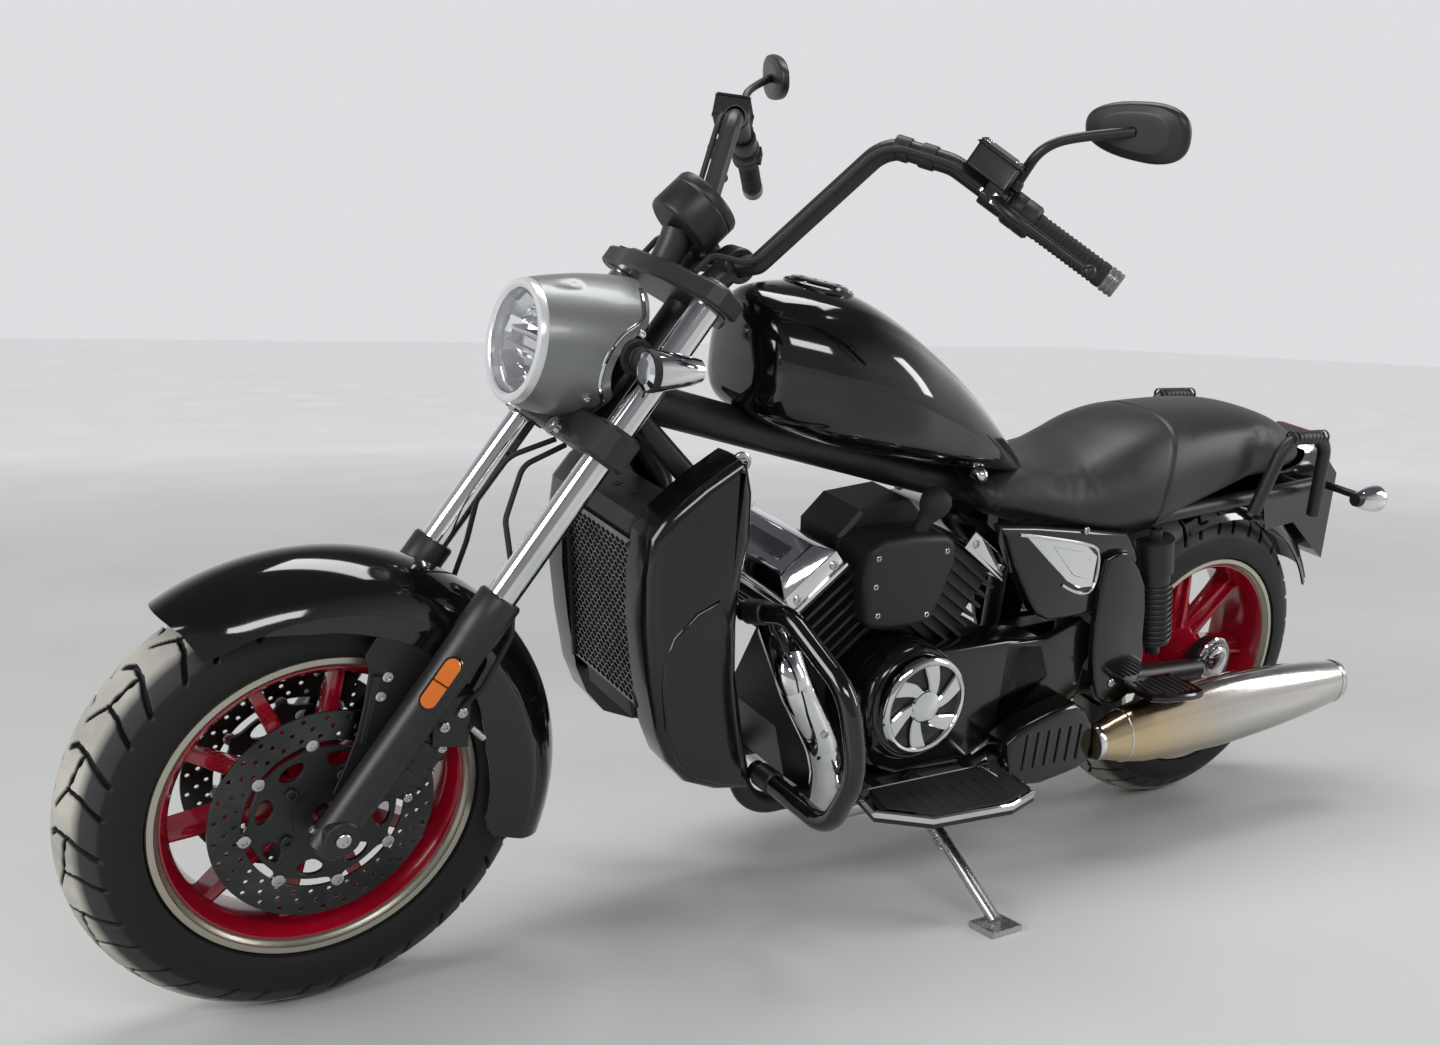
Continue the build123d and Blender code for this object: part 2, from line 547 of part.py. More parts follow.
# ---------------------------------------------------------------- exhaust
PORT_PIPE_R = 24.0
HEADER = [(1072, 95, 512), (1088, 176, 470), (1010, 190, 330), (975, 158, 222), (880, 60, 147), (412, 56, 147),
          (412, 122, 214), (446, 172, 246)]
header = pipe(HEADER, PORT_PIPE_R, [30, 55, 60, 60, 44, 34])
BOX = [(632, 290), (564, 323), (474, 343), (417, 292), (415, 218), (467, 200), (530, 191), (613, 208)]
silencer_box = slab(BOX, 156, 208)
MUFFLER_IN = (414.0, 196.0, 253.0)
MUFFLER_OUT = (-240.0, 238.0, 306.0)
MUFFLER = [  # distance back from the inlet, half height, half width
    (0, 31, 30),
    (140, 64, 46),
    (330, 73, 50),
    (565, 55, 42),
    (655, 41, 32),
]
m_in, m_out = Vector(*MUFFLER_IN), Vector(*MUFFLER_OUT)
along_muffler = (m_out - m_in).normalized()


def muffler_section(distance, high, wide):
    """Oval section of the muffler, a distance back from its inlet."""
    place = Plane(origin=m_in + along_muffler * distance, x_dir=(0, 0, 1), z_dir=along_muffler)
    return place * Ellipse(high, wide)


muffler = loft([muffler_section(*station) for station in MUFFLER], ruled=True)
add("header_pipes", both(less(header, "frame", "cylinders", "crankcase", "engine_side_covers")))
add("silencer_boxes", both(less(silencer_box, "header_pipes", "engine_side_covers")))
add("mufflers", both(less(muffler, "silencer_boxes")))

# ---------------------------------------------------------------- guards, boards, pegs
GUARD = [(1138, 104, 552), (1110, 185, 572), (1085, 318, 500), (1075, 358, 385), (1070, 300, 268), (1080, 106, 276)]
guard = pipe(GUARD, 16, [60, 90, 110, 60])
add("crash_bars", both(less(guard, "frame", "radiator_shrouds", "header_pipes")))

BOARD_Z = 217.0
board = plate([(915, 165), (928, 235), (850, 290), (690, 302), (622, 280), (612, 216), (642, 214), (644, 165)],
              BOARD_Z, BOARD_Z + 18)
board_arm = [rod((x, 98, BOARD_Z + 10), (x, 200, BOARD_Z + 9), 8) for x in (860, 660)]
add("floorboards", both(less(joined(board, *board_arm), "frame", "engine_side_covers", "header_pipes", "silencer_boxes")))

# ---------------------------------------------------------------- rear of the machine
ARM_Y = 108.0
ARM_R = 21.0
GEAR_CASE_R = 58.0
GEAR_CASE_OUT = 104.0
DOME_R = 46.0
hub_face = REAR_HUB_HALF + RUNNING_GAP
axle_hole = rod((0, -200, rear_radius), (0, 200, rear_radius), AXLE_R)
arm_left = pipe([(SWING_PIVOT[0] - 30, ARM_Y, SWING_PIVOT[2]), (200, ARM_Y + 4, 322), (0, ARM_Y - 2, rear_radius)],
                ARM_R, [200])
gear_case = rod((0, hub_face, rear_radius), (0, GEAR_CASE_OUT, rear_radius), GEAR_CASE_R)
ARM_SIDE = [(SWING_PIVOT[0] - 28, 305), (SWING_PIVOT[0] - 28, 358), (250, 366), (20, 340), (-38, 338), (-38, 288),
            (20, 286), (250, 306)]
arm_right = slab(ARM_SIDE, -ARM_Y - 20, -ARM_Y + 16)
pivot_cap = [rod((SWING_PIVOT[0], side * 60, SWING_PIVOT[2]), (SWING_PIVOT[0], side * (ARM_Y + 22), SWING_PIVOT[2]), 32)
             for side in (1, -1)]
left_side = joined(arm_left, gear_case, pivot_cap[0])
right_side = joined(arm_right, pivot_cap[1])
dome_hole = rod((0, GEAR_CASE_OUT, rear_radius), (0, GEAR_CASE_OUT + 60, rear_radius), DOME_R)
add("swingarm", less(left_side, "frame") - axle_hole - dome_hole, less(right_side, "frame") - axle_hole)
add("rear_axle", joined(rod((0, -ARM_Y - 38, rear_radius), (0, GEAR_CASE_OUT, rear_radius), AXLE_R),
                        rod((0, -ARM_Y - 38, rear_radius), (0, -ARM_Y - 20, rear_radius), 17)))
add("final_drive_cover", rod((0, GEAR_CASE_OUT, rear_radius), (0, GEAR_CASE_OUT + 24, rear_radius), DOME_R, DOME_R - 14))

SHOCK_TOP = (296.0, 150.0, 640.0)
SHOCK_LOW = (238.0, 150.0, 392.0)
s_top, s_low = Vector(*SHOCK_TOP), Vector(*SHOCK_LOW)
shock_axis = (s_top - s_low).normalized()
shock = joined(rod(s_low, s_top, 14), rod(s_low + shock_axis * 25, s_low + shock_axis * 175, 31),
               rod(s_low + shock_axis * 170, s_top - shock_axis * 20, 36))
add("rear_shocks", both(less(shock, "frame", "swingarm", "saddle")))

FENDER_REAR_HALF = 92.0
rear_fender_r = rear_radius + 42
edges = [
    ThreePointArc((0, -FENDER_REAR_HALF, rear_fender_r - 50), (0, 0, rear_fender_r + 12),
                  (0, FENDER_REAR_HALF, rear_fender_r - 50)),
    Line((0, FENDER_REAR_HALF, rear_fender_r - 50), (0, FENDER_REAR_HALF - 5, rear_fender_r - 50)),
    ThreePointArc((0, FENDER_REAR_HALF - 5, rear_fender_r - 50), (0, 0, rear_fender_r + 7),
                  (0, -FENDER_REAR_HALF + 5, rear_fender_r - 50)),
    Line((0, -FENDER_REAR_HALF + 5, rear_fender_r - 50), (0, -FENDER_REAR_HALF, rear_fender_r - 50)),
]
rear_fender = revolve(make_face(edges), Axis((0, 0, 0), (0, 1, 0)), 85)
rear_fender = rear_fender.rotate(Axis.Y, -62).moved(Location(Vector(*REAR_AXLE)))
tail = slab([(-60, 735), (-235, 752), (-300, 700), (TAIL_TIP, 513), (-285, 530), (-190, 600), (-104, 589), (-80, 650)],
            -90, 90)
tyre_room = rod((0, -86, rear_radius), (0, 86, rear_radius), rear_radius + 14)
add("rear_fender", less(joined(rear_fender, tail) - tyre_room, "frame", "saddle"))
lamp = slab([(-205, 700), (-212, 768), (-255, 780), (-305, 752), (-338, 690), (-334, 652), (-290, 640)], -45, 45)
add("tail_lamp", less(lamp, "rear_fender", "saddle"))
rear_signal_at = Vector(-322, 178, 671)
rear_signal = joined(rod(rear_signal_at, rear_signal_at + Vector(70, 0, 0), 27, 13),
                     rod(rear_signal_at + Vector(30, 0, 0), (-292, 80, 671), 8))
add("rear_turn_signals", both(less(rear_signal, "rear_fender", "tail_lamp")))
LOOP = [(32, 155, 655), (-2, 172, 806), (-122, 172, 806), (-156, 155, 640)]
loop = pipe(LOOP, 13, [52, 52])
add("grab_loops", both(less(loop, "frame", "rear_fender", "saddle")))

COVER = [(682, 672), (596, 537), (537, 486), (428, 490), (372, 492), (330, 585), (377, 640)]
side_cover = slab(COVER, 130, 160)
add("side_covers", both(less(side_cover, "frame", "saddle", "cylinders", "engine_side_covers", "rocker_covers",
                             "intake_housing", "rear_shocks", "swingarm")))
peg_arm = slab([(430, 600), (378, 612), (318, 540), (300, 440), (285, 372), (310, 322), (352, 308), (395, 330),
                (420, 400), (434, 480)], 160, 176)
peg = plate([(330, 176), (330, 250), (240, 270), (200, 262), (205, 176)], 340, 355)
add("passenger_pegs", both(less(joined(peg_arm, peg), "frame", "rear_shocks", "mufflers", "side_covers")))

lever_rod = joined(pipe([(905, 156, 300), (930, 180, 300), (975, 215, 290), (975, 260, 290)], 7, [10, 20]))
add("foot_controls", both(less(lever_rod, "engine_side_covers", "header_pipes", "crash_bars")))
bracket = block((-60, -ARM_Y - 16, 395), (20, -REAR_HUB_HALF + 8, 470))
rear_caliper = bracket - rod((0, -REAR_HUB_HALF - 2, rear_radius), (0, -REAR_HUB_HALF + DISC_THICK + 2, rear_radius), REAR_DISC_R + 4)
add("rear_caliper", less(rear_caliper, "swingarm"))

# ---------------------------------------------------------------- side stand
pivot, foot = Vector(*STAND_PIVOT), Vector(*STAND_FOOT)
leg_down, leg_folded = (foot - pivot).normalized(), Vector(*STAND_FOLDED).normalized()
stand_axis = leg_down.cross(leg_folded).normalized()
STAND_SWING = leg_down.get_angle(leg_folded)
BOSS_R, BOSS_LONG = 15.0, 24.0
PAD_THICK = 10.0
down = Vector(0, math.sin(lean), -math.cos(lean))
boss_top = pivot + stand_axis * (BOSS_LONG / 2)
leg = rod(pivot, foot + down * -14, STAND_R)
boss = rod(pivot - stand_axis * (BOSS_LONG / 2), boss_top, BOSS_R)
pad = Box(62, 58, PAD_THICK).moved(Plane(origin=foot - down * (PAD_THICK / 2), x_dir=(1, 0, 0), z_dir=down).location)
add("side_stand", joined(leg, boss, pad))
lug_low, lug_high = boss_top + stand_axis * RUNNING_GAP, boss_top + stand_axis * 9
lug_solid = joined(rod(lug_low, lug_high, BOSS_R), rod(lug_high - stand_axis * 4, (pivot.X, 98, 208), 7))
lug_solid = lug_solid - rod(pivot - stand_axis * BOSS_LONG, lug_low, BOSS_R + 6)
nodes["frame"] = joined(nodes["frame"][0], lug_solid).solids()

# ---------------------------------------------------------------- parked and written
sink = REAR_RING * math.cos(lean) + REAR_CROWN - rear_radius


def park(solid):
    """Leans a solid to the left about the rear axle's line, its tyres on the ground."""
    turned_solid = solid.rotate(Axis((0, 0, rear_radius), (1, 0, 0)), -LEAN)
    return turned_solid.moved(Location((0, 0, sink)))


parked = {name: [park(solid) for solid in solids] for name, solids in nodes.items()}
whole = Compound(children=[solid for solids in parked.values() for solid in solids]).bounding_box()
origin = Vector((whole.min.X + whole.max.X) / 2, (whole.min.Y + whole.max.Y) / 2, 0)
for name, solids in parked.items():
    moved = [solid.moved(Location(origin * -1)) for solid in solids]
    export_step(Compound(children=moved), f"parts/{name}.step")


def parked_point(point):
    """A point of the upright layout, in metres in the parked frame."""
    x, y, z = point
    up = z - rear_radius
    moved = Vector(x, y * math.cos(lean) + up * math.sin(lean),
                   rear_radius + sink + up * math.cos(lean) - y * math.sin(lean)) - origin
    return [round(value / 1000, 6) for value in moved]


def parked_direction(direction):
    """A direction of the upright layout, in the parked frame."""
    x, y, z = Vector(*direction).normalized()
    return [round(value, 6) for value in (x, y * math.cos(lean) + z * math.sin(lean),
                                          z * math.cos(lean) - y * math.sin(lean))]


print("nodes", len(parked), "size", [round(v, 1) for v in whole.size])
print("origin", [round(v, 3) for v in origin])
print("stand swing", round(STAND_SWING, 2))
for name, point in {"front_axle": FRONT_AXLE, "rear_axle": REAR_AXLE, "steering": tuple(head_low),
                    "stand_pivot": STAND_PIVOT, "stand_foot": STAND_FOOT, "saddle_top": (450, 0, 757),
                    "left_board": (770, 235, BOARD_Z + 18), "right_board": (770, -235, BOARD_Z + 18),
                    "gap_left_loop": (-62, 171, 738), "gap_right_loop": (-62, -171, 738)}.items():
    print("point", name, *parked_point(point))
for name, direction in {"across": (0, 1, 0), "steering": UP_FORK, "stand_axis": tuple(stand_axis),
                        "up": (0, 0, 1)}.items():
    print("direction", name, *parked_direction(direction))
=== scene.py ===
import json
import math

import bmesh
import bpy
from mathutils import Matrix, Vector


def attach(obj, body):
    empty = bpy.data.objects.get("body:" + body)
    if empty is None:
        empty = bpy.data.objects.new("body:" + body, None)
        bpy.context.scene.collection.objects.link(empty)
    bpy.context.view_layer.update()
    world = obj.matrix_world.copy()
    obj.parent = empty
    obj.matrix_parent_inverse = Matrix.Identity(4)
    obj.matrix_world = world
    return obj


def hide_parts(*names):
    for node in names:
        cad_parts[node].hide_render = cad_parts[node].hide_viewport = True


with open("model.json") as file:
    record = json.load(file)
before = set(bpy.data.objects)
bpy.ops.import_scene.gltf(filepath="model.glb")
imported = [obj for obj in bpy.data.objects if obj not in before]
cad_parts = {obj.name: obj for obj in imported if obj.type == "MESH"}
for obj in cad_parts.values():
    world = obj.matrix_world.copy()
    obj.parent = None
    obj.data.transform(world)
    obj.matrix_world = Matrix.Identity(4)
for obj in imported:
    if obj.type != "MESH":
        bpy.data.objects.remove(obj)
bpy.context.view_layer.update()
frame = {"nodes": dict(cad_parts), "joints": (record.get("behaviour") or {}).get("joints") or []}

# ---------------------------------------------------------------- how the machine stands
# The motorcycle leans to the left on its side stand. Its pieces are laid out upright, in
# metres from the rear axle forwards, from the centre plane to the left and up from the
# ground, and PARKED leans each of them over with the wheels' own axle.
joints = {joint["name"]: joint for joint in frame["joints"]}
REAR_RADIUS = 0.313
across = Vector(joints["rear_wheel_spin"]["axis"])
PARKED = (Matrix.Translation(joints["rear_wheel_spin"]["pos_m"])
          @ Matrix.Rotation(math.atan2(across.z, across.y), 4, "X") @ Matrix.Translation((0, 0, -REAR_RADIUS)))
UPRIGHT = PARKED.inverted()
REAR_AXLE = Vector((0, 0, REAR_RADIUS))
FRONT_AXLE = UPRIGHT @ Vector(joints["front_wheel_spin"]["pos_m"])
UP_FORK = UPRIGHT.to_3x3() @ Vector(joints["steering"]["axis"])
AHEAD = Vector((UP_FORK.z, 0, -UP_FORK.x))
LEFT = Vector((0, 1, 0))
UP = Vector((0, 0, 1))
LEG_Y = 0.1228


def mm(value):
    """Millimetres, alone or in lists and tuples, as the metres that Blender uses."""
    return value / 1000 if isinstance(value, (int, float)) else type(value)(mm(part) for part in value)


def at_fork(along, ahead=0.0, left=0.0):
    """Point on the fork: along the leg from the axle, ahead of the leg line, and to the left."""
    return FRONT_AXLE + UP_FORK * along + AHEAD * ahead + LEFT * left


# ---------------------------------------------------------------- floor, light and camera
# A plain pale studio floor and walls under soft light: panels in front of the machine, on
# the camera's side, behind and overhead, so that black paint shows narrow bright bands.
class Wire:
    """A shader socket that takes part in sums, as a number does."""

    def __init__(self, socket):
        self.socket = socket

    def node(self, kind, settings=None, output=0, **inputs):
        """Output of a new node; an input's name has _ for a space, or is its number after an n."""
        tree = self.socket.id_data
        made = tree.nodes.new("ShaderNode" + kind)
        for name, value in (settings or {}).items():
            setattr(made, name, value)
        for name, value in inputs.items():
            number = name[0] == "n" and name[1:].isdigit()
            socket = made.inputs[int(name[1:]) if number else name.replace("_", " ")]
            if isinstance(value, Wire):
                tree.links.new(value.socket, socket)
            else:
                socket.default_value = value
        return Wire(made.outputs[output])

    def math(self, operation, first, second=0.0):
        return self.node("Math", {"operation": operation}, n0=first, n1=second)

    def __add__(self, other):
        return self.math("ADD", self, other)

    def __sub__(self, other):
        return self.math("SUBTRACT", self, other)

    def __mul__(self, other):
        return self.math("MULTIPLY", self, other)

    def axes(self):
        """The three coordinates, one by one."""
        split = self.node("SeparateXYZ", Vector=self).socket.node
        return [Wire(output) for output in split.outputs]

    def noise(self, scale, detail=3.0, roughness=0.55):
        return self.node("TexNoise", Vector=self, Scale=scale, Detail=detail, Roughness=roughness)

    def between(self, low, high, start=0.0, end=1.0):
        """Runs from start to end as this value goes from low to high."""
        return self.node("MapRange", n0=self, n1=low, n2=high, n3=start, n4=end)

    def blend(self, first, second):
        """Mix of two colours, by this value from 0 to 1."""
        sides = [side if isinstance(side, Wire) else (*side, 1) for side in (first, second)]
        return self.node("Mix", {"data_type": "RGBA"}, output=2, n0=self, n6=sides[0], n7=sides[1])

    def placed(self, matrix):
        """These coordinates in another frame, given as a rotation and a place."""
        inverse = matrix.inverted()
        return self.node("Mapping", Vector=self, Location=inverse.translation, Rotation=inverse.to_euler(),
                         Scale=(1, 1, 1))


relief_of = {}              # finish -> bump strength and depth in metres


def finish(name, fixed, recipe=None):
    """Material with fixed shader values; the recipe gives the sockets that vary over the surface."""
    material = bpy.data.materials.new(name)
    material.use_nodes = True
    tree = material.node_tree
    shader = tree.nodes["Principled BSDF"]
    for socket, value in fixed.items():
        shader.inputs[socket].default_value = (*value, 1) if socket.endswith("Color") else value
    if recipe:
        place = Wire(tree.nodes.new("ShaderNodeTexCoord").outputs["Object"])
        for socket, wire in recipe(place).items():
            if socket == "Height":
                strength, distance = relief_of[name]
                wire = wire.node("Bump", Strength=strength, Distance=distance, Height=wire)
                socket = "Normal"
            tree.links.new(wire.socket, shader.inputs[socket])
    material.diffuse_color = (*fixed.get("Base Color", (0.5, 0.5, 0.5)), 1)
    return material


def coated(name, dark, light, rough, metal=0.0, coat=0.0, grain=90.0, relief=None, patch=5.0, **more):
    """Painted, plated or moulded surface: two near tones in patches, fine grain, uneven gloss."""
    relief_of[name] = relief or (0.0, 0.0)

    def recipe(place):
        cloud = place.noise(patch, 5.0)
        fine = place.noise(grain, 4.0)
        sockets = {
            "Base Color": cloud.between(0.35, 0.7).blend(dark, light),
            "Roughness": (cloud * 0.5 + fine * 0.5).between(0.3, 0.7, rough[0], rough[1]),
        }
        if relief:
            sockets["Height"] = fine
        return sockets

    values = {"Metallic": metal, "Coat Weight": coat, "Coat Roughness": 0.04, "Base Color": dark}
    return finish(name, {**values, **{key.replace("_", " "): value for key, value in more.items()}}, recipe)


floor_shape = bmesh.new()
bmesh.ops.create_grid(floor_shape, x_segments=1, y_segments=1, size=30)
floor_mesh = bpy.data.meshes.new("floor")
floor_shape.to_mesh(floor_mesh)
floor_shape.free()
floor = bpy.data.objects.new("floor", floor_mesh)
bpy.context.scene.collection.objects.link(floor)
relief_of["pale_floor"] = (0.02, 0.002)


def floor_recipe(place):
    """Pale floor that glows far away: painted light brightens it into the wall's tone."""
    far_glow = place.node("VectorMath", {"operation": "LENGTH"}, output=1, n0=place).between(2.0, 8.0)
    return {
        "Base Color": place.noise(0.7, 5).between(0.3, 0.7).blend((0.50, 0.52, 0.50), (0.56, 0.57, 0.555)),
        "Roughness": place.noise(2.0, 5).between(0.3, 0.7, 0.42, 0.58),
        "Height": place.noise(3.0, 4),
        # Painted glow: the floor emits light in the wall's tone, more the farther it is from the machine.
        "Emission Color": far_glow.blend((0, 0, 0), (0.46, 0.455, 0.47)),
    }


FLOOR = finish("pale_floor", {"Emission Strength": 1.0}, floor_recipe)
floor.data.materials.append(FLOOR)

PANELS = [  # place, looks at, width, height, watts
    ((4.8, 0.4, 2.4), (0.6, 0, 0.6), 2.2, 2.6, 150),
    ((1.6, 5.0, 3.6), (0, 0, 0.5), 3.2, 0.9, 105),
    ((-0.6, -0.6, 4.6), (0, 0, 0.5), 3.6, 1.3, 130),
    ((-4.2, 2.4, 2.4), (-0.6, 0, 0.6), 0.9, 2.4, 75),
]
for count, (spot, target, width, height, watts) in enumerate(PANELS):
    light = bpy.data.lights.new(f"panel_{count}", "AREA")
    light.shape, light.size, light.size_y, light.energy = "RECTANGLE", width, height, watts
    lamp = bpy.data.objects.new(f"panel_{count}", light)
    lamp.location = spot
    lamp.rotation_euler = (Vector(target) - Vector(spot)).to_track_quat("-Z", "Y").to_euler()
    bpy.context.scene.collection.objects.link(lamp)

WALL = (0.74, 0.725, 0.75)
CEILING = (0.10, 0.10, 0.11)
NEAR_WALL = (0.30, 0.30, 0.31)
world = bpy.data.worlds.new("studio")
world.use_nodes = True
sky = Wire(world.node_tree.nodes.new("ShaderNodeTexCoord").outputs["Generated"])
sky_x, sky_y, sky_z = sky.axes()
near = (sky_x * 0.62 + sky_y * 0.78).between(0.1, 0.75)
wall = near.blend(WALL, NEAR_WALL)
world.node_tree.links.new(sky_z.between(0.28, 0.7).blend(wall, CEILING).socket,
                          world.node_tree.nodes["Background"].inputs["Color"])
bpy.context.scene.world = world
bpy.context.scene.view_settings.view_transform = "Standard"

CAMERA_AT = Vector((1.4714, 1.8616, 0.9861))
CAMERA_YAW, CAMERA_PITCH, CAMERA_ROLL = -126.89, -7.30, 1.57      # degrees
FOCAL_PIXELS = 1493.25
IMAGE = (1440, 1045)
OPTIC_CENTRE = (864.8, 499.6)
SENSOR = 36.0
yaw, pitch, roll = (math.radians(angle) for angle in (CAMERA_YAW, CAMERA_PITCH, CAMERA_ROLL))
looking = Vector((math.cos(yaw) * math.cos(pitch), math.sin(yaw) * math.cos(pitch), math.sin(pitch)))
level = looking.cross(UP).normalized()
upward = level.cross(looking)
right = level * math.cos(roll) + upward * math.sin(roll)
above = upward * math.cos(roll) - level * math.sin(roll)
camera = bpy.data.objects.new("camera", bpy.data.cameras.new("camera"))
camera.matrix_world = Matrix.Translation(CAMERA_AT) @ Matrix((right, above, -looking)).transposed().to_4x4()
camera.data.sensor_width = SENSOR
camera.data.lens = FOCAL_PIXELS / IMAGE[0] * SENSOR
camera.data.shift_x = (IMAGE[0] / 2 - OPTIC_CENTRE[0]) / IMAGE[0]
camera.data.shift_y = (OPTIC_CENTRE[1] - IMAGE[1] / 2) / IMAGE[0]
camera.data.clip_start = 0.05
bpy.context.scene.collection.objects.link(camera)
bpy.context.scene.camera = camera


# ---------------------------------------------------------------- tyres
# Black road tyres with a round tread. Wide curved grooves run from each shoulder to the
# middle, left and right by turns, and the tread that has met the road is pale with dust.
def piece(name, shape, material, body, slot, *stands_for, crease=35.0):
    """Closes a shape as an object in the parked frame that rides on its body."""
    bmesh.ops.remove_doubles(shape, verts=shape.verts, dist=1e-5)
    bmesh.ops.recalc_face_normals(shape, faces=shape.faces)
    shape.transform(PARKED)
    mesh = bpy.data.meshes.new(name)
    shape.to_mesh(mesh)
    shape.free()
    for face in mesh.polygons:
        face.use_smooth = True
    mesh.set_sharp_from_angle(angle=math.radians(crease))
    mesh.materials.append(material)
    made = bpy.data.objects.new(name, mesh)
    bpy.context.scene.collection.objects.link(made)
    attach(made, body)
    if stands_for:
        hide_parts(*stands_for)
    return made


def facing(start, direction):
    """Frame whose Z runs along the direction from the start."""
    return Matrix.Translation(start) @ Vector(direction).to_track_quat("Z", "Y").to_matrix().to_4x4()


def turned(shape, profile, place, steps=48, closed=False):
    """Turns (height, radius) points about the Z axis of a frame."""
    row = [shape.verts.new(place @ Vector((radius, 0, height))) for height, radius in profile]
    pairs = list(zip(row, row[1:])) + ([(row[-1], row[0])] if closed else [])
    edges = [shape.edges.new(pair) for pair in pairs]
    bmesh.ops.spin(shape, geom=row + edges, cent=place.translation, axis=place.to_3x3() @ UP, angle=2 * math.pi,
                   steps=steps, use_merge=True)


def wheel_frame(centre, turn=0.0):
    """Frame of a wheel: Z to the left along its axle, X forwards."""
    sideways = Matrix.Rotation(math.radians(-90), 4, "X")
    return Matrix.Translation(centre) @ sideways @ Matrix.Rotation(math.radians(turn), 4, "Z")


RIM_LIP = 0.218
RIM_SEAT = 0.203
TREAD_END = 1.04            # where the grooves have run out, in shares of the tread's half width
TREAD_FADE = 0.08
GROOVE_DEEP = 0.0075
TREAD_SHARE = 0.62          # of the way round to the rim on each side
DUST_FROM, DUST_TO = 0.66, 0.80      # up the round tread, in its own radius
TREAD_STEPS = 900
TREAD_ROWS = 88
GROOVES = [  # half width, then points of (share of the pitch, share of the way out to the shoulder)
    (0.0034, [(0.00, 0.00), (-0.10, 0.22), (-0.07, 0.48), (0.08, 0.78), (0.20, 1.00)]),
    (0.0030, [(0.38, 0.36), (0.42, 0.60), (0.54, 0.82), (0.64, 1.00)]),
    (0.0019, [(-0.08, 0.44), (0.38, 0.36), (0.66, 0.10)]),
]


def groove(turn, side, pitch, half_tread):
    """Depth share of the tread pattern at a turn round the tyre and a share of the way across."""
    depth = 0.0
    across_share = abs(side)
    local = turn / pitch + (0.5 if side < 0 else 0.0)
    for wide, line in GROOVES:
        for (start, start_out), (end, end_out) in zip(line, line[1:]):
            middle = (start + end) / 2
            at = local - round(local - middle)
            run, out = (end - start) * pitch, (end_out - start_out) * half_tread
            gone, gone_out = (at - start) * pitch, (across_share - start_out) * half_tread
            share = min(max((gone * run + gone_out * out) / (run * run + out * out), 0.0), 1.0)
            apart = math.hypot(gone - share * run, gone_out - share * out)
            depth = max(depth, (wide - apart) / 0.0016 + 0.5)
    return min(max(depth, 0.0), 1.0)


def tyre_rubber(name, place, low, high, ring, crown):
    """Rubber with road dust on the tread's face, but not down in its grooves."""
    relief_of[name] = (0.3, 0.0006)

    def recipe(spot):
        local = spot.placed(PARKED @ place)
        flat = local.node("VectorMath", {"operation": "MULTIPLY"}, n0=local, n1=(1, 1, 0))
        reach = flat.node("VectorMath", {"operation": "LENGTH"}, output=1, n0=flat)
        height = local.axes()[2]
        lift = reach - ring
        squares = lift * lift + height * height
        from_crown = squares.math("SQRT", squares)
        patch, fine = spot.noise(11, 5), spot.noise(420, 4)
        face = from_crown.between(crown - 0.0028, crown - 0.0007)
        dust = reach.between(low, high) * patch.between(0.3, 0.6, 0.62, 1.0) * face
        worn = reach.between(ring + crown * 0.36, ring + crown * 0.42) * face
        rubber = worn.blend((0.0065, 0.0065, 0.007), (0.026, 0.026, 0.028))
        return {"Base Color": dust.blend(rubber, (0.40, 0.385, 0.345)),
                "Roughness": dust.between(0, 1, 0.55, 0.9), "Height": fine}

    return finish(name, {"Roughness": 0.6, "Specular IOR Level": 0.3}, recipe)


TYRES = [  # name, axle, radius of the tread's middle, tread's own radius, half width of the rim, blocks, body
    ("front", FRONT_AXLE, 0.2478, 0.0663, 0.050, 17, "front_wheel"),
    ("rear", REAR_AXLE, 0.2317, 0.0813, 0.070, 18, "rear_wheel"),
]
for name, axle, ring, crown, seat, blocks, body in TYRES:
    place = wheel_frame(axle)
    shoulder = math.acos((RIM_LIP + 0.003 - ring) / crown)
    profile = [(-seat, RIM_SEAT), (-seat, RIM_LIP - 0.001), (-seat - 0.003, RIM_LIP + 0.0015)]
    for row in range(TREAD_ROWS + 1):
        angle = shoulder * (2 * row / TREAD_ROWS - 1)
        profile.append((crown * math.sin(angle), ring + crown * math.cos(angle)))
    profile += [(-along, radius) for along, radius in reversed(profile[:3])]
    pitch = 2 * math.pi * (ring + crown) / blocks
    tread_edge = shoulder * TREAD_SHARE
    shape = bmesh.new()
    turned(shape, profile, place, TREAD_STEPS, closed=True)
    inverse = place.inverted()
    for vert in shape.verts:
        local = inverse @ vert.co
        reach = math.hypot(local.x, local.y)
        lean = math.atan2(local.z, reach - ring)
        if abs(lean) < tread_edge * TREAD_END and reach > ring:
            turn = math.atan2(local.y, local.x) * (ring + crown)
            share = lean / tread_edge
            fade = min(1.0, (TREAD_END - abs(share)) / TREAD_FADE)
            sunk = GROOVE_DEEP * groove(turn, share, pitch, tread_edge * crown) * fade
            out = Vector((local.x / reach * math.cos(lean), local.y / reach * math.cos(lean), math.sin(lean)))
            vert.co = place @ (local - out * sunk)
    dusty = tyre_rubber(f"{name}_tyre_rubber", place, ring + crown * DUST_FROM, ring + crown * DUST_TO, ring,
                        crown)
    piece(f"{name}_tyre_tread", shape, dusty, body, "tyre", f"{name}_tyre", crease=50)

# ---------------------------------------------------------------- cast wheels
# Red cast wheels. The front one has ten slim tapered spokes and the rear one seven broad
# ones; the lips are bare pale metal, and the hubs are turned.
RED = coated("red_wheel_paint", (0.28, 0.002, 0.014), (0.38, 0.004, 0.020), (0.14, 0.26), coat=0.6, grain=300.0)
CHAMPAGNE = coated("pale_rim_metal", (0.40, 0.375, 0.31), (0.46, 0.435, 0.37), (0.26, 0.32), metal=0.85,
                   grain=300.0, patch=2.0)


def framed(right, upward, out, at):
    """Frame with these three axes at a place."""
    made = Matrix((right, upward, out)).transposed().to_4x4()
    made.translation = at
    return made


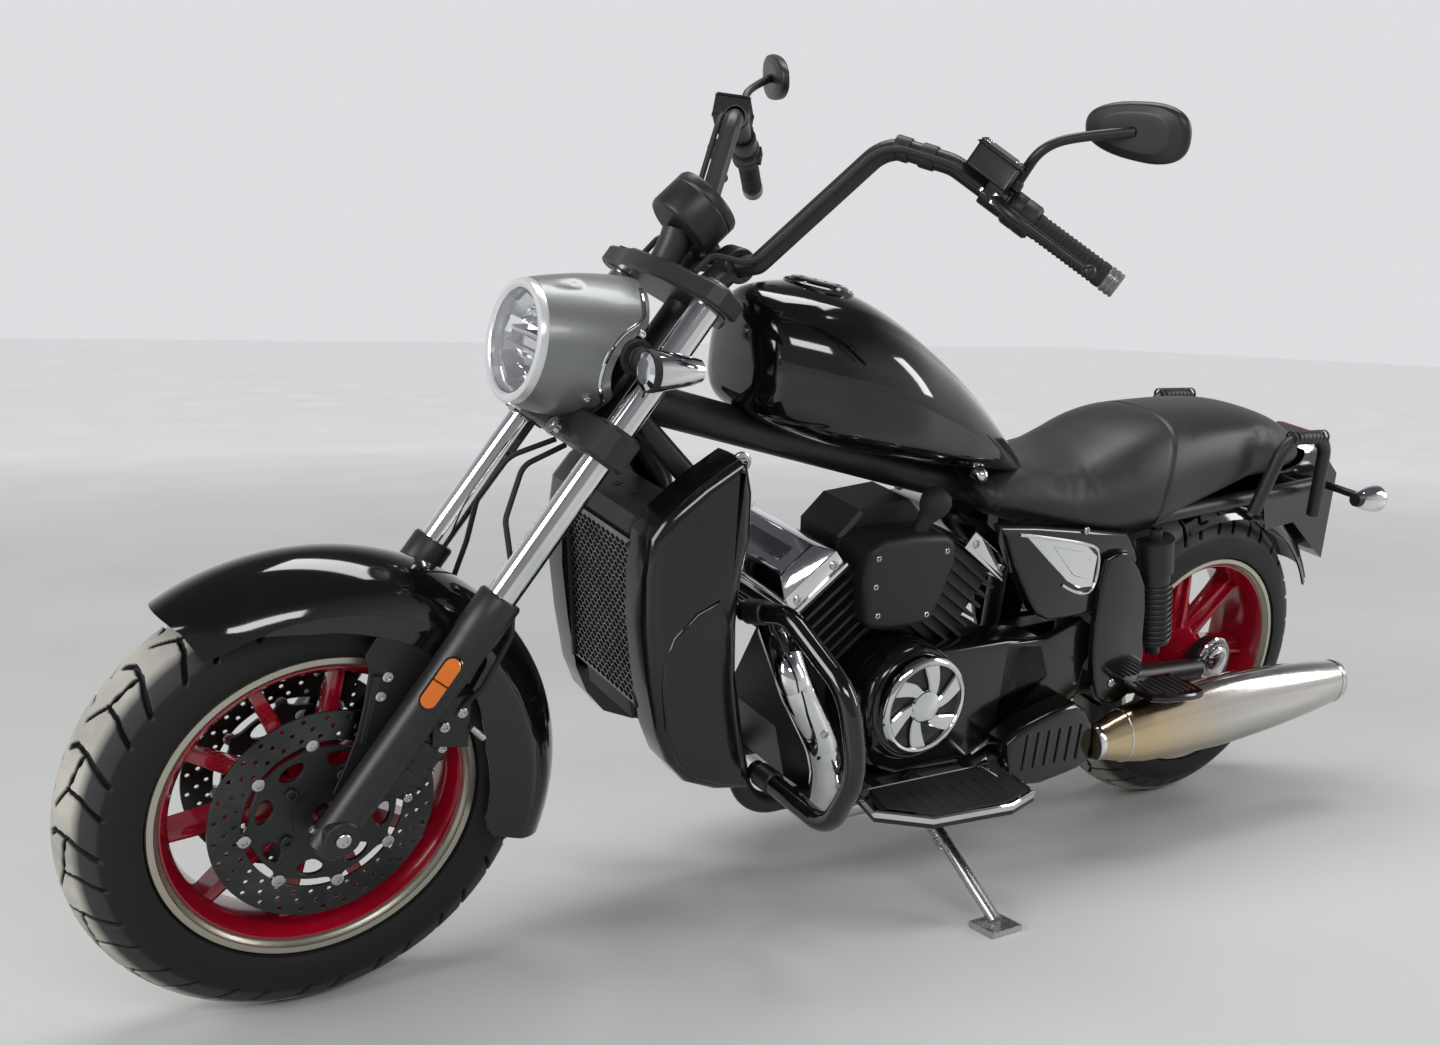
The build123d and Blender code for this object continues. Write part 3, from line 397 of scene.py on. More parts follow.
def beam(shape, start, end, side, size, end_size, bevel=0.0):
    """Tapered bar between two points; each size is its width along side and its depth."""
    start, end, side = Vector(start), Vector(end), Vector(side)
    along = (end - start).normalized()
    side = (side - along * side.dot(along)).normalized()
    place = framed(side, along.cross(side), along, start)
    length = (end - start).length
    made = bmesh.ops.create_cube(shape, size=1.0)["verts"]
    for vert in made:
        width, depth = end_size if vert.co.z > 0 else size
        vert.co = place @ Vector((vert.co.x * width, vert.co.y * depth, (vert.co.z + 0.5) * length))
    if bevel:
        edges = list({edge for vert in made for edge in vert.link_edges})
        bmesh.ops.bevel(shape, geom=edges, offset=bevel, offset_type="OFFSET", segments=2, profile=0.5,
                        affect="EDGES", material=-1, clamp_overlap=True)


def rod(shape, start, end, radius, end_radius=None, sides=24, bevel=0.0):
    """Round bar between two points, tapered when it has an end radius."""
    start, end = Vector(start), Vector(end)
    far_glow = radius if end_radius is None else end_radius
    length = (end - start).length
    profile = [(0, 0), (0, radius - bevel), (bevel, radius), (length - bevel, far_glow), (length, far_glow - bevel),
               (length, 0)]
    if not bevel:
        profile = [(0, 0), (0, radius), (length, far_glow), (length, 0)]
    turned(shape, profile, facing(start, end - start), sides)


def both_ends(points):
    """Profile given from its middle to its left end, completed on the right."""
    return [(-height, radius) for height, radius in reversed(points)] + points


RIMS = [  # name, axle, half width, hub radius, hub half width, spokes, first turn, body
    ("front", FRONT_AXLE, 0.050, 0.040, 0.066, 10, 8, "front_wheel"),
    ("rear", REAR_AXLE, 0.070, 0.052, 0.072, 7, 20, "rear_wheel"),
]
FLANGE = 0.007
for name, axle, seat, hub_r, hub_half, spokes, turn, body in RIMS:
    place = wheel_frame(axle, turn)
    lip = seat + FLANGE
    shape = bmesh.new()
    half = [(seat - 0.002, RIM_SEAT), (seat, RIM_LIP), (lip - 0.002, RIM_LIP), (lip, 0.2165), (lip, 0.2085),
            (lip - 0.004, 0.2065), (lip - 0.006, 0.2035), (seat - 0.002, 0.2015), (seat - 0.004, 0.2005)]
    turned(shape, both_ends(half), place, 144, closed=True)
    piece(f"{name}_rim_lips", shape, CHAMPAGNE, body, "steel")

    shape = bmesh.new()
    half = [(seat * 0.3, 0.184), (seat * 0.6, 0.186), (seat - 0.003, 0.198), (seat - 0.003, 0.2004)]
    turned(shape, both_ends(half), place, 144, closed=True)
    half = [(hub_half * 0.45, hub_r), (hub_half * 0.72, hub_r * 0.76), (hub_half, hub_r * 0.72),
            (hub_half, 0.0105)]
    turned(shape, both_ends(half), place, 64, closed=True)
    for count in range(spokes):
        spin = place @ Matrix.Rotation(2 * math.pi * count / spokes, 4, "Z")
        side = spin.to_3x3() @ LEFT
        root, tip = ((0.026, 0.034), (0.017, 0.030)) if spokes > 7 else ((0.052, 0.026), (0.036, 0.040))
        beam(shape, spin @ Vector((hub_r * 0.9, 0, 0)), spin @ Vector((0.1865, 0, 0)), side, root, tip, 0.004)
        if spokes == 7:
            for flank in (-1, 1):
                beam(shape, spin @ Vector((hub_r * 0.9, 0, 0.012 * flank)),
                     spin @ Vector((0.1865, 0, 0.026 * flank)), side, (0.012, 0.02), (0.008, 0.014), 0.003)
    piece(f"{name}_cast_wheel", shape, RED, body, "red", f"{name}_rim")

# ---------------------------------------------------------------- brake discs
# Drilled steel rings that float on bright bobbins round a black spider, which five bolts
# hold to the hub. The front wheel has one on each side and the rear wheel one on the right.
DISC_STEEL = coated("brake_disc_steel", (0.035, 0.037, 0.037), (0.075, 0.077, 0.076), (0.26, 0.38), metal=1.0,
                    grain=200.0, patch=9.0)
SATIN_BLACK = coated("satin_black_paint", (0.0075, 0.0078, 0.0085), (0.014, 0.0145, 0.016), (0.34, 0.46),
                     grain=900.0, relief=(0.12, 0.0003), Specular_IOR_Level=0.42)
STEEL = coated("bright_steel", (0.42, 0.42, 0.42), (0.58, 0.58, 0.57), (0.2, 0.36), metal=1.0, grain=160.0)


def round_line(radius, steps, centre=(0.0, 0.0)):
    """Points round a circle."""
    return [(centre[0] + radius * math.cos(2 * math.pi * step / steps),
             centre[1] + radius * math.sin(2 * math.pi * step / steps)) for step in range(steps)]


def drawn(shape, curve, place=None):
    """Adds what a curve draws, and puts the curve away."""
    holder = bpy.data.objects.new("curve", curve)
    mesh = bpy.data.meshes.new_from_object(holder)
    if place:
        mesh.transform(place)
    shape.from_mesh(mesh)
    bpy.data.objects.remove(holder)
    bpy.data.curves.remove(curve)
    bpy.data.meshes.remove(mesh)


def flat(shape, outlines, thick, place, bevel=0.0):
    """Plate cut from a sheet, in a frame: the first outline is its edge and the others its holes."""
    curve = bpy.data.curves.new("outline", "CURVE")
    curve.dimensions, curve.fill_mode = "2D", "BOTH"
    curve.extrude, curve.bevel_depth, curve.bevel_resolution = thick / 2 - bevel, bevel, 0
    curve.offset = -bevel
    for outline in outlines:
        spline = curve.splines.new("POLY")
        spline.points.add(len(outline) - 1)
        for point, (x, y) in zip(spline.points, outline):
            point.co = (x, y, 0, 1)
        spline.use_cyclic_u = True
    drawn(shape, curve, place)


def bolt(shape, spot, direction, radius, height=0.005):
    """Bolt head standing on a face, with its socket sunk in the middle."""
    edge = radius * 0.16
    profile = [(-0.001, 0), (-0.001, radius), (height - edge, radius), (height, radius - edge),
               (height, radius * 0.55), (height * 0.4, radius * 0.48), (height * 0.4, 0)]
    turned(shape, profile, facing(spot, direction), 18 if radius > 0.006 else 12)


DISCS = [  # name, axle, across, radius, inner radius, bobbins, side, body
    ("front_left_disc", FRONT_AXLE, 0.072, 0.149, 0.107, 8, 1, "front_wheel"),
    ("front_right_disc", FRONT_AXLE, -0.072, 0.149, 0.107, 8, -1, "front_wheel"),
    ("rear_brake_disc", REAR_AXLE, -0.0815, 0.140, 0.102, 8, -1, "rear_wheel"),
]
for name, axle, across_at, radius, inner, bobbins, side, body in DISCS:
    place = wheel_frame(axle + LEFT * across_at, 11)
    holes = []
    for count in range(30):
        for row, reach in enumerate((0.2, 0.5, 0.8)):
            angle = math.radians(12 * count + 4 * row)
            at = inner + (radius - inner) * reach
            holes.append(round_line(0.0033, 8, (at * math.cos(angle), at * math.sin(angle))))
    shape = bmesh.new()
    flat(shape, [round_line(radius, 120), round_line(inner, 96)] + holes, 0.0045, place, 0.0005)
    piece(name, shape, DISC_STEEL, body, "disc", "front_discs" if body == "front_wheel" else "rear_disc")

    shape = bmesh.new()
    edge, windows = [], []
    for step in range(96):
        angle = 2 * math.pi * step / 96
        lobe = max(0.0, math.cos(angle * bobbins)) ** 3
        reach = inner - 0.010 + 0.0075 * lobe
        edge.append((reach * math.cos(angle), reach * math.sin(angle)))
    for count in range(bobbins):
        middle = 2 * math.pi * (count + 0.5) / bobbins
        window = []
        for step in range(20):
            round_at = 2 * math.pi * step / 20
            reach = inner - 0.028 + 0.0115 * math.sin(round_at)
            swing = middle + 0.215 * math.cos(round_at) * (1.0 + 0.25 * math.sin(round_at))
            window.append((reach * math.cos(swing), reach * math.sin(swing)))
        windows.append(window)
    hole = round_line(0.0172 if body == "front_wheel" else 0.030, 32)
    flat(shape, [edge] + windows + [hole], 0.0075, place @ Matrix.Translation((0, 0, -0.003 * side)), 0.0008)
    turned(shape, [(-0.012 * side, 0.0176), (-0.012 * side, 0.046), (0.004 * side, 0.043),
                   (0.004 * side, 0.0176)], place, 48, closed=True)
    for count in range(5):
        angle = 2 * math.pi * (count + 0.3) / 5
        bolt(shape, place @ Vector((0.058 * math.cos(angle), 0.058 * math.sin(angle), 0.0008 * side)),
             LEFT * side, 0.0085, 0.006)
    piece(f"{name}_spider", shape, SATIN_BLACK, body, "satin_black")

    shape = bmesh.new()
    for count in range(bobbins):
        angle = 2 * math.pi * count / bobbins
        spot = Vector(((inner - 0.002) * math.cos(angle), (inner - 0.002) * math.sin(angle), 0))
        turned(shape, mm([(-4.2, 0), (-4.2, 8.5), (4.2, 8.5), (4.8, 7.5), (4.8, 4.5), (3, 4), (3, 0)]),
               place @ Matrix.Translation(spot), 16)
    piece(f"{name}_bobbins", shape, STEEL, body, "steel")

# ---------------------------------------------------------------- fork
# Bright chrome tubes in satin black sliders with wide collars, held by two broad clamps.
# An amber reflector in a black frame is fixed along each slider, and a through axle with
# a bright bolt carries the wheel.
CHROME = coated("bright_chrome", (0.60, 0.61, 0.62), (0.78, 0.78, 0.79), (0.03, 0.10), metal=1.0, grain=60.0)
AMBER = coated("amber_lens", (0.50, 0.10, 0.002), (0.66, 0.16, 0.006), (0.10, 0.2), coat=1.0)
GLOSS_BLACK = coated("gloss_black_paint", (0.0028, 0.0029, 0.0034), (0.0045, 0.0047, 0.0055), (0.05, 0.12),
                     coat=0.35, grain=600.0, relief=(0.02, 0.0004), Specular_IOR_Level=0.45)


def dress(material, *names):
    """Gives the solids of the frame their finish."""
    for name in names:
        for slot in frame["nodes"][name].material_slots:
            slot.material = material


def mirrored(*shapes):
    """Adds the right-hand copy of everything in each shape."""
    for shape in shapes:
        geometry = shape.verts[:] + shape.edges[:] + shape.faces[:]
        bmesh.ops.mirror(shape, geom=geometry, axis="Y", merge_dist=-1.0)


def loft(shape, rings, caps=True):
    """Joins rings of points, each with as many points as the last, into a skin."""
    loops = []
    for ring_points in rings:
        verts = [shape.verts.new(point) for point in ring_points]
        loops.append([shape.edges.new((first, second)) for first, second in zip(verts, verts[1:] + verts[:1])])
    for first, second in zip(loops, loops[1:]):
        bmesh.ops.bridge_loops(shape, edges=first + second)
    if caps:
        for loop in (loops[0], loops[-1]):
            bmesh.ops.edgeloop_fill(shape, edges=loop)


def tube(shape, points, radius, sides=3, thick=None):
    """Round bar bent along one smooth curve; thick varies the radius from point to point."""
    curve = bpy.data.curves.new("run", "CURVE")
    curve.dimensions, curve.bevel_depth, curve.bevel_resolution = "3D", radius, sides
    curve.use_fill_caps, curve.resolution_u = True, 10
    spline = curve.splines.new("NURBS")
    spline.points.add(len(points) - 1)
    for count, point in enumerate(points):
        spline.points[count].co = (*point, 1)
        spline.points[count].radius = thick[count] if thick else 1.0
    spline.order_u, spline.use_endpoint_u = 3, True
    drawn(shape, curve)


dress(CHROME, "fork_tubes")
dress(SATIN_BLACK, "front_axle")
sliders, reflectors, frames, fixings = bmesh.new(), bmesh.new(), bmesh.new(), bmesh.new()
leg = facing(at_fork(0, 0, LEG_Y), UP_FORK)
turned(sliders, mm([(-34, 0), (-34, 20), (-28, 25.2), (20, 26.2), (292, 28.6), (304, 29.5), (309, 30.8),
                    (366, 30.8), (369.5, 28.5), (370, 21.8), (356, 21.6)]), leg, 56)
spot = at_fork(0, 0, LEG_Y)
turned(sliders, mm([(-12, 0), (-12, 24), (26.2, 24), (28.2, 22), (28.2, 10.5), (14, 10.5)]), facing(spot, LEFT),
       48)
rod(sliders, at_fork(-0.012, 0.024, LEG_Y - 0.004), at_fork(-0.012, -0.026, LEG_Y - 0.004), 0.008)
REFLECTOR_LOW, REFLECTOR_HIGH, REFLECTOR_HALF = 0.196, 0.276, 0.0135
side = (LEFT * 0.86 + AHEAD * 0.51).normalized()
across_side = UP_FORK.cross(side)


def stadium(low, high, half, steps=10):
    """Outline of a strip with round ends, up the second axis."""
    points = []
    for turn in range(steps + 1):
        angle = math.pi * turn / steps
        points.append((half * math.cos(angle), high - half + half * math.sin(angle)))
    for turn in range(steps + 1):
        angle = math.pi + math.pi * turn / steps
        points.append((half * math.cos(angle), low + half + half * math.sin(angle)))
    return points


pad = framed(across_side, UP_FORK, side, spot + side * 0.0302)
flat(frames, [stadium(REFLECTOR_LOW, REFLECTOR_HIGH, REFLECTOR_HALF)], 0.007, pad, 0.0012)
middle = (REFLECTOR_LOW + REFLECTOR_HIGH) / 2
pad.translation = spot + side * 0.0345
glass = stadium(REFLECTOR_LOW + 0.003, REFLECTOR_HIGH - 0.003, 0.0108)
for low, high in ((REFLECTOR_LOW + 0.003, middle - 0.001), (middle + 0.001, REFLECTOR_HIGH - 0.003)):
    flat(reflectors, [[(x, min(max(y, low), high)) for x, y in glass]], 0.005, pad, 0.0012)
turned(fixings, mm([(26, 0), (26, 9.8), (31.5, 9.8), (32.5, 8.5), (32.5, 6), (30, 5.5), (30, 0)]),
       facing(spot, LEFT), 24)
bolt(fixings, at_fork(-0.012, 0.0252, LEG_Y - 0.004), AHEAD, 0.0055)
mirrored(sliders, reflectors, frames, fixings)
piece("sliders", sliders, SATIN_BLACK, "fork", "satin_black", "fork_sliders")
piece("slider_reflectors", reflectors, AMBER, "fork", "lens")
piece("reflector_frames", frames, GLOSS_BLACK, "fork", "black_plastic")
piece("axle_bolts", fixings, STEEL, "fork", "steel")

CLAMPS = [  # name, low, high, outline (ahead, left) of the left half
    ("lower_clamp_plate", 0.592, 0.642, mm([(-88, 45), (-40, 112), (-26, 150), (-10, 157.5), (14, 157.5),
                                            (30, 146), (36, 125), (36, 100), (40.5, 40)])),
    ("upper_clamp_plate", 0.850, 0.880, mm([(-84, 50), (-42, 118), (-28, 158), (-10, 169), (14, 169), (30, 156),
                                            (34.5, 125), (36, 100), (50.5, 60)])),
]
for name, low, high, outline in CLAMPS:
    place = framed(AHEAD, LEFT, UP_FORK, at_fork((low + high) / 2))
    shape = bmesh.new()
    points = outline + [(a, -b) for a, b in reversed(outline)]
    holes = [round_line(0.0214, 40, (0, hand * LEG_Y)) for hand in (1, -1)]
    flat(shape, [points] + holes, high - low, place, 0.004)
    for hand in (1, -1):
        half = (high - low) / 2 + 0.002
        turned(shape, [(-half, 0.0216), (-half, 0.031), (half, 0.031), (half, 0.0216)],
               place @ Matrix.Translation((0, hand * LEG_Y, 0)), 48, closed=True)
    piece(name, shape, SATIN_BLACK, "fork", "satin_black", *(["lower_clamp"] if low < 0.7 else []), crease=30)
shape = bmesh.new()
for hand in (1, -1):
    rod(shape, at_fork(0.868, -0.022, 0.05 * hand), at_fork(0.938, -0.041, 0.05 * hand), 0.021, 0.0185, 32,
        0.002)
    turned(shape, mm([(-18, 16.5), (-18, 24), (-15, 26.2), (15, 26.2), (18, 24), (18, 16.5)]),
           facing(at_fork(0.938, -0.041, 0.05 * hand), LEFT), 40, closed=True)
rod(shape, at_fork(0.848, -0.05), at_fork(0.892, -0.05), 0.020, None, 32, 0.003)
piece("bar_risers", shape, SATIN_BLACK, "fork", "satin_black", "upper_clamp")
shape = bmesh.new()
for hand in (1, -1):
    turned(shape, mm([(0, 0), (0, 23.8), (4, 23.8), (6, 21), (6, 12), (4, 11), (4, 0)]),
           facing(at_fork(0.8802, 0, hand * LEG_Y), UP_FORK), 40)
    for along in (-0.010, 0.010):
        bolt(shape, at_fork(0.958, -0.041, 0.05 * hand + along) - AHEAD * 0.012, UP_FORK - AHEAD * 0.4, 0.0045)
turned(shape, mm([(0, 0), (0, 14), (6, 14), (8, 11), (8, 0)]), facing(at_fork(0.892, -0.05), UP_FORK), 6)
piece("fork_caps", shape, STEEL, "fork", "steel")

# ---------------------------------------------------------------- front mudguard
# One pressed steel guard in gloss black that hugs the tyre: a round crown, straight skirts
# that grow deeper behind the fork, and a pointed nose. A bracket plate bolts it to each leg.
GUARD_TOP = 0.348
GUARD_HALF = 0.0930
CROWN_SAG = 0.060
crown_r = (GUARD_HALF ** 2 + CROWN_SAG ** 2) / (2 * CROWN_SAG)
GUARD_FROM, GUARD_TO = 57, 197      # degrees from straight ahead, over the top
NOSE_RUN, NOSE_POINT, NOSE_NARROW = 10, 2.2, 0.10
GUARD_EDGE = [  # turn from straight ahead in degrees, radius of the lower edge
    (57, 0.322), (60, 0.313), (65, 0.300), (72, 0.286), (82, 0.272), (100, 0.262), (125, 0.256), (140, 0.247),
    (152, 0.232), (162, 0.223), (190, 0.222), (194, 0.228), (197, 0.243)]


def along_table(table, at):
    """Value of a (place, value) table at a place between its rows."""
    for (low, first), (high, second) in zip(table, table[1:]):
        if at <= high:
            share = min(max((at - low) / (high - low), 0.0), 1.0)
            return first + (second - first) * share
    return table[-1][1]


def guard_spot(along, over):
    """Point of the mudguard, by shares along the wheel from the nose and over from right to left."""
    turn = GUARD_FROM + (GUARD_TO - GUARD_FROM) * along
    edge = along_table(GUARD_EDGE, turn)
    to_tip = 1 - min(1.0, (turn - GUARD_FROM) / NOSE_RUN)
    skirt = max(0.0, GUARD_TOP - CROWN_SAG - edge)
    widest = math.acos(1 - min(CROWN_SAG, GUARD_TOP - edge) / crown_r)
    arc = crown_r * widest
    share = abs(2 * over - 1) * (arc + skirt)
    if share < arc:
        angle = share / crown_r
        out, reach = crown_r * math.sin(angle), GUARD_TOP - crown_r * (1 - math.cos(angle))
    else:
        out, reach = GUARD_HALF, GUARD_TOP - CROWN_SAG - (share - arc)
    hand = 1 if over > 0.5 else -1
    angle = math.radians(turn - NOSE_POINT * (1 - (2 * over - 1) ** 2) * to_tip ** 2)
    left = hand * out * (1 - NOSE_NARROW * to_tip ** 2)
    return FRONT_AXLE + Vector((math.cos(angle) * reach, left, math.sin(angle) * reach))


shape = bmesh.new()
bmesh.ops.create_grid(shape, x_segments=96, y_segments=48, size=0.5)
for vert in shape.verts:
    vert.co = guard_spot(vert.co.x + 0.5, vert.co.y + 0.5)
bmesh.ops.recalc_face_normals(shape, faces=shape.faces)
bmesh.ops.solidify(shape, geom=shape.faces[:], thickness=0.003)
piece("front_mudguard", shape, GLOSS_BLACK, "fork", "gloss_black", "front_fender", crease=40)

BRACKET = mm([(1706.5, 545), (1700.5, 520), (1706, 470), (1713, 430), (1727.5, 385), (1741, 352), (1726, 330),
              (1700, 336), (1668, 395), (1634, 470), (1618, 535), (1650, 575), (1690, 572)])
EDGE_ON = Matrix(((1, 0, 0, 0), (0, 0, -1, 0), (0, 1, 0, 0), (0, 0, 0, 1)))


def at_side(out):
    """Frame of a side-view outline, x and up, standing out to the left."""
    return Matrix.Translation((0, out, 0)) @ EDGE_ON


shape, fixings = bmesh.new(), bmesh.new()
flat(shape, [BRACKET], 0.004, at_side(0.0905), 0.0008)
beam(shape, (1.690, 0.0935, 0.515), (1.705, 0.0935, 0.420), LEFT, (0.006, 0.012), (0.006, 0.008), 0.001)
LATCH = mm([(1560, 470), (1612, 470), (1612, 400), (1560, 392)])
flat(shape, [LATCH], 0.004, at_side(0.0965), 0.0008)
for x, z in ((1.677, 0.512), (1.685, 0.485), (1.573, 0.447), (1.597, 0.429)):
    bolt(fixings, (x, 0.0925 if x > 1.65 else 0.0985, z), LEFT, 0.0075, 0.006)
rod(fixings, (1.560, 0.103, 0.424), (1.540, 0.103, 0.404), 0.005, None, 12, 0.001)
mirrored(shape, fixings)
piece("mudguard_brackets", shape, SATIN_BLACK, "fork", "satin_black")
piece("mudguard_bolts", fixings, STEEL, "fork", "steel")

# ---------------------------------------------------------------- front brake calipers and hoses
# A black four-piston caliper straddles each disc behind the leg, on two long bolts, with a
# brake hose that comes down from the lower clamp.
RUBBER = coated("black_rubber", (0.009, 0.009, 0.0095), (0.017, 0.017, 0.017), (0.55, 0.75), grain=400.0,
                relief=(0.25, 0.0004), Specular_IOR_Level=0.35)
dress(RUBBER, "brake_hoses", "control_cables")
shape, fixings = bmesh.new(), bmesh.new()
place = framed(AHEAD, LEFT, UP_FORK, at_fork(0.110, -0.060))
for low_y, high_y in ((0.053, 0.0695), (0.0745, 0.0930)):
    outline = mm([(-29, -47), (12, -50), (29, -36), (29, 36), (12, 50), (-29, 47)])
    flat(shape, [outline], high_y - low_y, Matrix.Translation((0, (low_y + high_y) / 2, 0)) @ place @ EDGE_ON,
         0.004)
for along in (-0.030, 0.0, 0.030):
    beam(shape, place @ Vector((-0.024, 0.053, along)), place @ Vector((-0.024, 0.092, along)), UP_FORK,
         (0.014, 0.010), (0.014, 0.010), 0.002)
for along in (-0.022, 0.022):
    turned(shape, mm([(0, 0), (0, 17), (4, 15.5), (5, 12), (5, 0)]),
           facing(place @ Vector((0.006, 0.0925, along)), LEFT), 28)
for along in (0.040, -0.040):
    bolt(fixings, place @ Vector((-0.018, 0.0930, along)), LEFT, 0.0065)
mirrored(shape, fixings)
piece("front_brake_calipers", shape, SATIN_BLACK, "fork", "satin_black", "front_calipers")
piece("caliper_bolts", fixings, STEEL, "fork", "steel")

# ---------------------------------------------------------------- headlamp
# A silver-grey shell that widens backwards to the clamps. A bright ring holds a clear glass
# over a faceted reflector with a level bar; a scoop is let into its top, and a raised bright
# line follows its rear cut-out round a bolt and the turn signal's boss.
SILVER = coated("silver_grey_lacquer", (0.165, 0.172, 0.172), (0.195, 0.202, 0.200), (0.34, 0.42), metal=0.5,
                coat=0.2, grain=2500.0, relief=(0.03, 0.0002))
CLEAR = finish("clear_lens", {"Base Color": (0.95, 0.96, 0.97), "Roughness": 0.02, "Transmission Weight": 1.0,
                              "IOR": 1.35})
MIRROR = coated("lamp_reflector", (0.74, 0.75, 0.77), (0.86, 0.87, 0.88), (0.04, 0.12), metal=1.0)
LAMP_AT = Vector((1.484, 0, 0.943))
BACK_AT = Vector((1.360, 0, 0.937))
LAMP_R, SHELL_R = 0.088, 0.106
lamp_out = Vector((math.cos(math.radians(8)), 0, math.sin(math.radians(8))))
back_out = Vector((math.cos(math.radians(23)), 0, math.sin(math.radians(23))))


def shell_spot(along, round_at, lift=0.0):
    """Point on the lamp shell: share from the rim to the back, and turn from the top to the left."""
    out = lamp_out.lerp(back_out, along).normalized()
    centre = LAMP_AT.lerp(BACK_AT, along)
    radius = LAMP_R + (SHELL_R - LAMP_R) * math.sin(min(1.0, along * 1.05) * math.pi / 2) ** 0.9 + lift
    over = out.cross(LEFT)
    over = over if over.z > 0 else -over
    return centre + over * radius * math.cos(round_at) + LEFT * radius * math.sin(round_at)


shape = bmesh.new()
rings = []
for step in range(25):
    along = step / 24
    ring_points = []
    for turn in range(96):
        round_at = 2 * math.pi * turn / 96
        swing = math.degrees(min(round_at, 2 * math.pi - round_at))
        sunk = 0.0
        if 0.10 < along < 0.36:
            sunk = -0.006 * max(0.0, 1 - abs(swing - 20) / 9) * min(1.0, (along - 0.10) / 0.2)
        reach = along
        if along > 0.6:
            notch = max(0.0, 1 - ((swing - 92) / 30) ** 2)
            reach = 0.6 + (along - 0.6) * (1 - 0.62 * notch)
        ring_points.append(shell_spot(reach, round_at, sunk))
    rings.append(ring_points)
loft(shape, rings, caps=False)
bmesh.ops.recalc_face_normals(shape, faces=shape.faces)
bmesh.ops.solidify(shape, geom=shape.faces[:], thickness=0.0025)
piece("headlamp_shell", shape, SILVER, "fork", "silver", "headlamp_nacelle", crease=40)

shape = bmesh.new()
BEZEL = coated("pale_bezel", (0.56, 0.57, 0.575), (0.64, 0.65, 0.65), (0.20, 0.28), metal=0.35, coat=0.4)
turned(shape, [(-0.010, LAMP_R - 0.001), (0.005, LAMP_R - 0.0005), (0.0105, LAMP_R - 0.003),
               (0.0125, LAMP_R - 0.007), (0.0118, LAMP_R - 0.012), (0.009, LAMP_R - 0.0155),
               (0.002, LAMP_R - 0.016), (-0.010, LAMP_R - 0.016)], facing(LAMP_AT, lamp_out), 96, closed=True)
piece("headlamp_bezel", shape, BEZEL, "fork", "chrome")
shape = bmesh.new()
trim = []
for step in range(19):
    swing = 25 + (150 - 25) * step / 18
    notch = max(0.0, 1 - ((swing - 92) / 33) ** 2)
    trim.append(shell_spot(0.93 - 0.30 * notch ** 0.7, math.radians(swing), 0.0012))
tube(shape, trim, 0.0030)
tube(shape, [Vector((p.x, -p.y, p.z)) for p in trim], 0.0030)
for hand in (1, -1):
    for along, degrees, radius in ((0.93, 68, 0.006), (0.66, 124, 0.0055)):
        swing = math.radians(degrees * hand)
        bolt(shape, shell_spot(along, swing, 0.001), shell_spot(along, swing, 1) - shell_spot(along, swing),
             radius)
    eye = at_fork(0.598, 0.048, 0.062 * hand)
    turned(shape, mm([(0, 5), (0, 13), (8, 13), (8, 5)]), facing(eye, AHEAD), 28, closed=True)
piece("headlamp_rim", shape, CHROME, "fork", "chrome")

BOWL_DEEP = 0.052
shape = bmesh.new()
turned(shape, [(0.0, LAMP_R - 0.012), (-0.016, 0.072), (-0.034, 0.056), (-0.046, 0.034), (-BOWL_DEEP, 0.012),
               (-BOWL_DEEP, 0)], facing(LAMP_AT, lamp_out), 18)
over = lamp_out.cross(LEFT)
over = over if over.z > 0 else -over
bar = LAMP_AT - lamp_out * 0.022
beam(shape, bar - LEFT * 0.062, bar + LEFT * 0.062, over, (0.018, 0.010), (0.018, 0.010), 0.003)
for height in (-0.040, -0.022, 0.022, 0.040):
    half = math.sqrt(0.060 ** 2 - height ** 2)
    bar = LAMP_AT - lamp_out * 0.034 + over * height
    beam(shape, bar - LEFT * half, bar + LEFT * half, over, (0.006, 0.012), (0.006, 0.012), 0.002)
piece("headlamp_bowl", shape, MIRROR, "fork", "chrome", crease=12)
shape = bmesh.new()
turned(shape, [(0.0, LAMP_R - 0.0115), (0.0075, LAMP_R - 0.0115), (0.011, 0.050), (0.0135, 0.02), (0.014, 0)],
       facing(LAMP_AT, lamp_out), 72)
turned(shape, [(0.0, LAMP_R - 0.0115), (0.003, 0.05), (0.0045, 0.02), (0.005, 0)], facing(LAMP_AT, lamp_out),
       72)
piece("headlamp_glass", shape, CLEAR, "fork", "lens", "headlamp_lens")
shape = bmesh.new()
for left in (-0.02, 0.02):
    rod(shape, LAMP_AT - lamp_out * 0.044 + LEFT * left, LAMP_AT - lamp_out * 0.03 + LEFT * left, 0.009, 0.006,
        20, 0.001)
rod(shape, BACK_AT - back_out * 0.006, BACK_AT + back_out * 0.004, SHELL_R - 0.006, None, 64, 0.002)
piece("headlamp_back", shape, SATIN_BLACK, "fork", "black_plastic")

# ---------------------------------------------------------------- turn signals at the front
# Chrome bullets on short stalks that stand out from black bosses beside the lamp; each has
# a clear faceted lens in a black ring.
SIGNAL_AT = Vector((1.385, 0.186, 0.944))
shapes = {"bullet": bmesh.new(), "lens": bmesh.new(), "ring": bmesh.new()}
nose = facing(SIGNAL_AT, (1, 0, 0))
turned(shapes["bullet"], mm([(-82, 0), (-81.5, 9), (-77.5, 15.5), (-62, 20), (-36, 24.8), (-14, 28), (-6, 28.7),
                             (-6, 0)]), nose, 48)
turned(shapes["ring"], mm([(-6, 22.5), (-6, 29), (1, 29), (3, 28.3), (3, 26.3), (0, 25)]), nose, 48,
       closed=True)
turned(shapes["lens"], mm([(-4, 0), (-4, 26.2), (4, 25.8), (7.6, 18), (8.9, 8), (9, 0)]), nose, 14)
